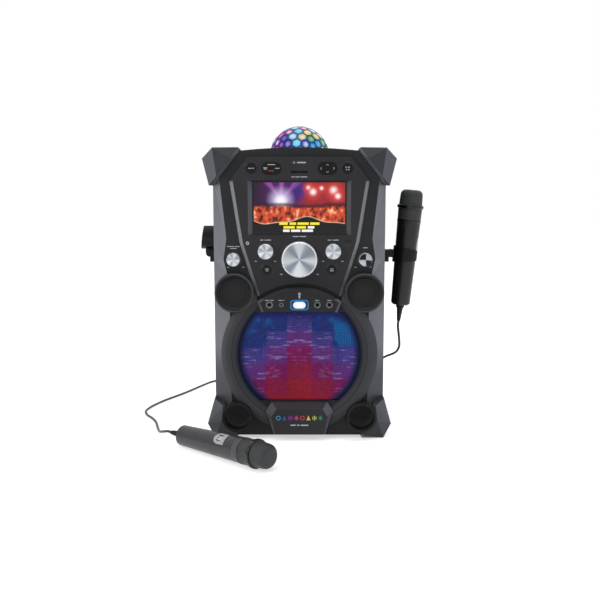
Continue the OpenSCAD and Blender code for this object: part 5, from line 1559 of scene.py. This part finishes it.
class KARAOKE_OT_dome(bpy.types.Operator):
    """Builds the dome: a shell of lens facets between dark ribs, each tinted by the lamps behind it"""

    bl_idname = "karaoke.dome"
    bl_label = "Lens dome"

    # Colours of the lamps that light the left, the middle and the right of the dome
    tones = (
        ((64, 52, 160), (126, 46, 156), (204, 34, 134)),
        ((64, 96, 214), (204, 34, 134), (230, 214, 120), (110, 206, 236)),
        ((40, 156, 70), (24, 166, 226), (230, 214, 120), (0, 114, 204)),
    )
    glares = (0.2, 0.45, 0.9)
    wall = 2.2

    def execute(self, context):
        low, high = span("dome_lens")
        radius = (high.x - low.x) / 2
        centre = Vector((0, 0, high.z - radius))
        depth = sizes().facet_gap / MM
        ball = bmesh.new()
        bmesh.ops.create_icosphere(ball, subdivisions=3, radius=1)
        ball.transform(Matrix.Rotation(radians(11), 4, "Z") @ Matrix.Rotation(radians(7), 4, "X"))
        chance = random.Random(7)
        shape = Shape()
        tint = shape.bm.loops.layers.float_color.new("tint")
        corners = {face: shape.bm.verts.new(centre + face.calc_center_median().normalized() * (radius - 0.04))
                   for face in ball.faces}
        for vert in ball.verts:
            axis = vert.co.normalized()
            side = axis.orthogonal().normalized()
            other = axis.cross(side)
            around = sorted(vert.link_faces, key=lambda q: math.atan2(
                (q.calc_center_median() - axis).dot(other), (q.calc_center_median() - axis).dot(side)))
            spots = [q.calc_center_median().normalized() for q in around]
            tone, glare = self.tone(axis, chance)
            rings = [[corners[q] for q in around]]
            for share, drop in ((0.12, 0.12), (0.27, depth), (0.58, depth * 0.62)):
                rings.append([
                    shape.bm.verts.new(centre + p.lerp(axis, share).normalized() * (radius - drop))
                    for p in spots
                ])
            top = shape.bm.verts.new(centre + axis * (radius - depth * 0.5))
            lit = {top: glare}
            lean_to = Vector((0.25, 0, -1))
            for p, edge, crown in zip(spots, rings[2], rings[3]):
                toward = max(0.0, (p - axis).normalized().dot(lean_to.normalized()))
                lit[edge] = glare * toward * 0.35
                lit[crown] = glare * (0.25 + 0.5 * toward)
            for k in range(len(around)):
                j = (k + 1) % len(around)
                faces = [(shape.bm.faces.new((a[k], a[j], b[j], b[k])), ink)
                         for a, b, ink in ((rings[0], rings[1], 1), (rings[1], rings[2], 1),
                                           (rings[2], rings[3], 0))]
                faces.append((shape.bm.faces.new((rings[3][k], rings[3][j], top)), 0))
                for face, ink in faces:
                    face.material_index = ink
                    for loop in face.loops:
                        white = 0 if ink else lit[loop.vert]
                        loop[tint] = (*[c + (1 - c) * white for c in tone[:3]], 1.0)
        ball.free()
        bmesh.ops.bisect_plane(
            shape.bm, geom=shape.bm.verts[:] + shape.bm.edges[:] + shape.bm.faces[:],
            plane_co=(0, 0, low.z), plane_no=(0, 0, 1), clear_inner=True,
        )
        self.close(shape.bm, centre, radius - self.wall, low.z)
        dome = shape.end("lens_dome", "dome", self.lens(), self.ribs(), smooth=16, slot="lens")
        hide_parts("dome_lens")
        return {"FINISHED"}

    @staticmethod
    def close(bm, centre, radius, level):
        """Turns the cut edge inwards and up into a smooth inner wall."""
        edges = [e for e in bm.edges if e.is_boundary]
        drop = math.acos(max(-1, min(1, (level - centre.z) / radius)))
        for k in range(13):
            angle = drop * (1 - k / 12)
            made = bmesh.ops.extrude_edge_only(bm, edges=edges)["geom"]
            edges = [g for g in made if isinstance(g, bmesh.types.BMEdge)]
            for vert in {v for v in made if isinstance(v, bmesh.types.BMVert)}:
                flat = Vector((vert.co.x, vert.co.y, 0)).normalized()
                size = max(radius * sin(angle), 0.02)
                vert.co = centre + flat * size + Vector((0, 0, radius * cos(angle)))
            for face in {f for e in edges for f in e.link_faces}:
                face.material_index = 1
        bmesh.ops.holes_fill(bm, edges=edges, sides=0)

    def tone(self, axis, chance):
        """Draws a facet's lamp from those behind its part of the dome, and how white it glares."""
        part = 0 if axis.x < -0.3 else 2 if axis.x > 0.3 else 1
        rgb, glare = chance.choice(self.tones[part]), chance.choice(self.glares)
        return shade(seen(*rgb), chance.uniform(0.85, 1.1)), min(1.0, glare * chance.uniform(0.8, 1.2))

    @staticmethod
    def lens():
        f = Finish("dome_facets", Emission_Strength=0.85, Coat_Weight=0.08, Coat_Roughness=0.05,
                   Specular_IOR_Level=0.15)
        tint = f.node("ShaderNodeAttribute", {"attribute_name": "tint"}, output="Color")
        cloud = f.noise(130, 3)
        swirl = f.node("ShaderNodeTexVoronoi", {"feature": "SMOOTH_F1"}, {"Vector": f.spot, "Scale": 95})
        lit = f.mix(f.step(swirl, 0.75, 0.1) * 0.4, tint, f.mix(cloud, seen(40, 44, 150), tint))
        return f.wear(Base_Color=f.mix(0.85, lit, BLACK), Emission_Color=lit, Roughness=0.16 + cloud * 0.12,
                      Normal=f.bump(swirl, 0.0003, 0.25))

    @staticmethod
    def ribs():
        f = Finish("dome_ribs", Emission_Strength=0.6, Specular_IOR_Level=0.15)
        tint = f.node("ShaderNodeAttribute", {"attribute_name": "tint"}, output="Color")
        cloud = f.noise(300, 2)
        dark = f.mix(0.3, f.mix(cloud, seen(12, 18, 92), seen(26, 36, 130)), f.mix(0.45, tint, BLACK))
        return f.wear(Base_Color=f.mix(0.5, dark, BLACK), Emission_Color=dark, Roughness=0.3 + cloud * 0.1)


# Microphones


HEAD_R = 20.6


def handle_finish(name, tone, place, metal, neck):
    """Enamelled handle with a rubber tail, and a knurled ring at its neck whose two tones, set for each
    handle, are painted highlight on the ridges and painted shade between them.
    """
    f = Finish(name, Specular_IOR_Level=0.35, Coat_Weight=0.12, Coat_Roughness=0.3)
    turn = place.to_3x3()
    tail = place.translation * MM
    local = f.vector("SUBTRACT", f.spot, tuple(tail))
    x, y, s = (f.vector("DOT_PRODUCT", local, tuple(turn.col[k]), output=1) * (1 / MM) for k in range(3))
    angle = f.math("ARCTAN2", y, x)
    ring = (s > 138.4) * (s < 153.2)
    tail_end = s < -0.2
    knurl = f.math("SINE", angle * 26 + s * 1.6) * f.math("SINE", angle * 26 - s * 1.6)
    flake, broad = f.noise(2400, 2), f.noise(30, 4)
    seam = f.math("MAXIMUM", f.step(f.math("ABSOLUTE", s - 138.2), 0.5, 0.25),
                  f.step(f.math("ABSOLUTE", s - 151.6), 0.7, 0.3))
    body = f.mix(f.step(flake, 0.3, 0.8), shade(tone, 0.85), shade(tone, 1.2))
    body = f.mix(tail_end, body, seen(20, 20, 21))
    return f.wear(
        # Knurl ridges take the lighter neck tone and grooves the darker: painted highlight and shade.
        Base_Color=f.mix(seam, f.mix(ring, body, f.mix(f.step(knurl, -0.2, 0.5), *neck)), shade(tone, 0.2)),
        Metallic=f.limit(metal - tail_end * metal),
        Roughness=0.34 + (broad - 0.5) * 0.14 + tail_end * 0.25,
        Normal=f.bump(knurl * ring + flake * 0.1, 0.00025, 0.7, f.softened(0.0008)),
    )


def handle_radius(station):
    """Radius of a handle at a distance from its tail: it widens evenly up to its collar."""
    tail, top, collar = 17, HEAD_R, 148
    return tail + (top - tail) * station / collar


@cache
def basket_finish():
    """Black wire woven on the slant over dark foam; the wires are lightened to grey with painted sheen."""
    f = Finish("head_mesh", Specular_IOR_Level=0.3)
    turn, run, _ = f.parts(f.uv())
    pitch = sizes().weave_pitch / MM
    slant = pitch * 1.414
    a, b = turn * (pi * round(2 * pi * HEAD_R / slant)), run * (pi / slant)
    warp, weft = f.math("ABSOLUTE", f.math("SINE", a + b)), f.math("ABSOLUTE", f.math("SINE", a - b))
    over = f.math("MAXIMUM", f.step(warp, 0.6, 0.97), f.step(weft, 0.7, 1.0) * 0.6)
    shine = f.noise(500, 2)
    return f.wear(
        # The grey of the wires is painted sheen.
        Base_Color=f.mix(over, seen(12, 12, 13), f.mix(shine, seen(58, 60, 61), seen(104, 106, 107))),
        Metallic=over * 0.3, Roughness=0.7 - over * 0.34, Normal=f.bump(over, 0.0004, 0.9),
    )


class KARAOKE_OT_microphones(bpy.types.Operator):
    """Adds each microphone's mesh head, switch plate and ribbed cord relief"""

    bl_idname = "karaoke.microphones"
    bl_label = "Microphones"

    def execute(self, context):
        scheme = colours()
        for side, place, tone, metal, neck in (
            # Each neck pair: a painted-shade tone and a painted-highlight tone.
            ("left", LEFT_MIC, scheme.handle_grey, 0.6, (seen(40, 41, 46), seen(104, 106, 114))),
            ("right", RIGHT_MIC, scheme.handle_black, 0.1, (seen(16, 16, 17), seen(38, 38, 41))),
        ):
            body = side + "_mic"
            dress(handle_finish(side + "_handle", tone, place, metal, neck), f"mic_{side}_body")
            self.head(side, place, body)
            self.plate(place, body)
            self.ribs(place, body)
        return {"FINISHED"}

    @staticmethod
    def head(side, place, body):
        head = Shape()
        neck = [(0, 153.3), (20.55, 153.3), (20.6, 153.5), (21.15, 172.6), (21.2, 173)]
        rim = [(21.2, 173), (22.4, 173), (23.0, 173.4), (23.3, 174.1), (23.3, 177.6), (23.0, 178.5),
               (22.2, 179), (20.6, 179)]
        crown = [(20.6, 179), (20.3, 184), (19.95, 190.5), (19.6, 197)]
        crown += [(10.6 + 9 * cos(radians(a)), 197 + 8.95 * sin(radians(a))) for a in (18, 36, 54, 72, 90)]
        crown += [(6, 205.97), (0, 206)]
        head.lathe(neck, 72, place)
        head.lathe(rim, 72, place, ink=1)
        head.lathe(crown, 72, place, flat=HEAD_R)
        made = head.end(body + "_head", body, basket_finish(), gloss_finish(), smooth=50, slot="mesh")
        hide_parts(f"mic_{side}_head")

    @staticmethod
    def plate(place, body):
        """A satin shield bent round the handle, round towards the tail, with a framed square switch."""
        half, top, hole = 10.6, 118.6, 4.6
        shape = Shape()
        lows, ups = {}, {}

        def corner(y, s):
            key = (round(y, 3), round(s, 3))
            if key not in lows:
                r = handle_radius(s)
                skin = math.sqrt(r * r - y * y)
                ups[key] = shape.bm.verts.new(place @ Vector((max(19 - 0.0188 * y * y, skin + 0.2), y, s)))
                lows[key] = shape.bm.verts.new(place @ Vector((min(17.38, skin - 0.1), y, s)))
            return key

        def foot(y):
            return 103.5 - math.sqrt(max(0.0, half**2 - y * y)) if abs(y) < half else 103.5

        angles = (-70, -55, -40, -13, 0, 13, 40, 55, 70)
        across = sorted([-half, -hole, hole, half] + [half * sin(radians(a)) for a in angles])
        edges = {}
        for a, b in zip(across, across[1:]):
            pieces = [(foot(a), foot(b), top, top)]
            if abs(a + b) / 2 < hole:
                pieces = [(foot(a), foot(b), 106 - hole, 106 - hole), (106 + hole, 106 + hole, top, top)]
            for low_a, low_b, high_a, high_b in pieces:
                ring = [corner(a, low_a), corner(b, low_b), corner(b, high_b), corner(a, high_a)]
                ring = [k for i, k in enumerate(ring) if k != ring[i - 1]]
                shape.bm.faces.new([ups[k] for k in ring])
                shape.bm.faces.new([lows[k] for k in reversed(ring)])
                for p, q in zip(ring, ring[1:] + ring[:1]):
                    if (q, p) in edges:
                        del edges[(q, p)]
                    else:
                        edges[(p, q)] = True
        for p, q in edges:
            shape.bm.faces.new((lows[p], lows[q], ups[q], ups[p]))
        axes = Matrix(((0, 0, 1, 17.38), (1, 0, 0, 0), (0, 1, 0, 106), (0, 0, 0, 1)))
        shape.band(rounded_box(12, 12, 1.6, 6), rounded_box(9.2, 9.2, 0.5, 6), 0.1, 1.85, place @ axes,
                   ink=1, chamfer=0.3)
        shape.end(body + "_plate", body, satin_finish(), black_finish(), smooth=30, slot="nickel")

    @staticmethod
    def ribs(place, body):
        shape = Shape()
        for k in range(8):
            s = -27 + 2.7 * k
            r = 2.9 + 2.6 * (s + 30) / 24
            shape.hoop([(r - 0.3, s), (r + 0.35, s + 0.2), (r + 0.45, s + 0.7), (r + 0.4, s + 1.2),
                        (r - 0.3, s + 1.5)], 32, place)
        shape.hoop([(4.8, -5.2), (7.1, -5.1), (7.25, -4.4), (7.25, -1.4), (7.1, -0.6), (4.8, -0.5)], 48,
                   place)
        shape.end(body + "_relief", body, rubber_finish(), smooth=40, slot="rubber")


@cache
def satin_finish():
    """Satin aluminium trim."""
    f = Finish("satin_trim", Metallic=0.9)
    brush = f.noise(300, 3)
    return f.wear(
        Base_Color=f.mix(brush, seen(150, 152, 156), seen(190, 191, 194)),
        Roughness=0.34 + (brush - 0.5) * 0.2,
        Normal=f.bump(brush, 0.00002, 0.3, f.softened(0.0003)),
    )


# Tray mark


class KARAOKE_OT_tray_mark(bpy.types.Operator):
    """Prints a disc symbol on the tray's front"""

    bl_idname = "karaoke.tray_mark"
    bl_label = "Tray mark"

    def execute(self, context):
        left = span("disc_tray")[0].x
        axes = Matrix(((0, 0, -1, left), (-1, 0, 0, 62), (0, 1, 0, 394), (0, 0, 0, 1)))
        shape = Shape().stroke(circle(3.4, 32), 0.5, 0, ink_depth(), axes, closed=True)
        shape.stroke(circle(1.0, 20), 0.4, 0, ink_depth(), axes, closed=True)
        shape.stroke(arc(2.3, 20, 70, 8), 0.35, 0, ink_depth(), axes)
        shape.stroke(arc(2.3, 200, 250, 8), 0.35, 0, ink_depth(), axes)
        shape.end("tray_mark", "tray", legend_finish(), smooth=0)
        return {"FINISHED"}


# Add-on


STEPS = (
    KARAOKE_OT_stage, KARAOKE_OT_cords, KARAOKE_OT_finishes, KARAOKE_OT_screen, KARAOKE_OT_grille,
    KARAOKE_OT_knobs, KARAOKE_OT_marks, KARAOKE_OT_panel_parts, KARAOKE_OT_jacks, KARAOKE_OT_speakers,
    KARAOKE_OT_nameplate, KARAOKE_OT_dome, KARAOKE_OT_microphones, KARAOKE_OT_tray_mark,
)


class KARAOKE_PT_panel(bpy.types.Panel):
    """Buttons and values of the karaoke machine"""

    bl_label = "Karaoke machine"
    bl_space_type = "VIEW_3D"
    bl_region_type = "UI"
    bl_category = "Karaoke"

    def draw(self, context):
        for group in (context.scene.karaoke_colours, context.scene.karaoke_sizes):
            for name in type(group).__annotations__:
                self.layout.prop(group, name)
        for step in STEPS:
            self.layout.operator(step.bl_idname)


CLASSES = (KaraokeColours, KaraokeSizes, *STEPS, KARAOKE_PT_panel)


def register():
    for cls in CLASSES:
        bpy.utils.register_class(cls)
    bpy.types.Scene.karaoke_colours = PointerProperty(type=KaraokeColours)
    bpy.types.Scene.karaoke_sizes = PointerProperty(type=KaraokeSizes)


def unregister():
    del bpy.types.Scene.karaoke_colours
    del bpy.types.Scene.karaoke_sizes
    for cls in reversed(CLASSES):
        bpy.utils.unregister_class(cls)


def main():
    register()
    for step in STEPS:
        group, name = step.bl_idname.split(".")
        if getattr(getattr(bpy.ops, group), name)() != {"FINISHED"}:
            raise RuntimeError(step.bl_idname + " didn't finish")


if __name__ == "__main__":
    main()
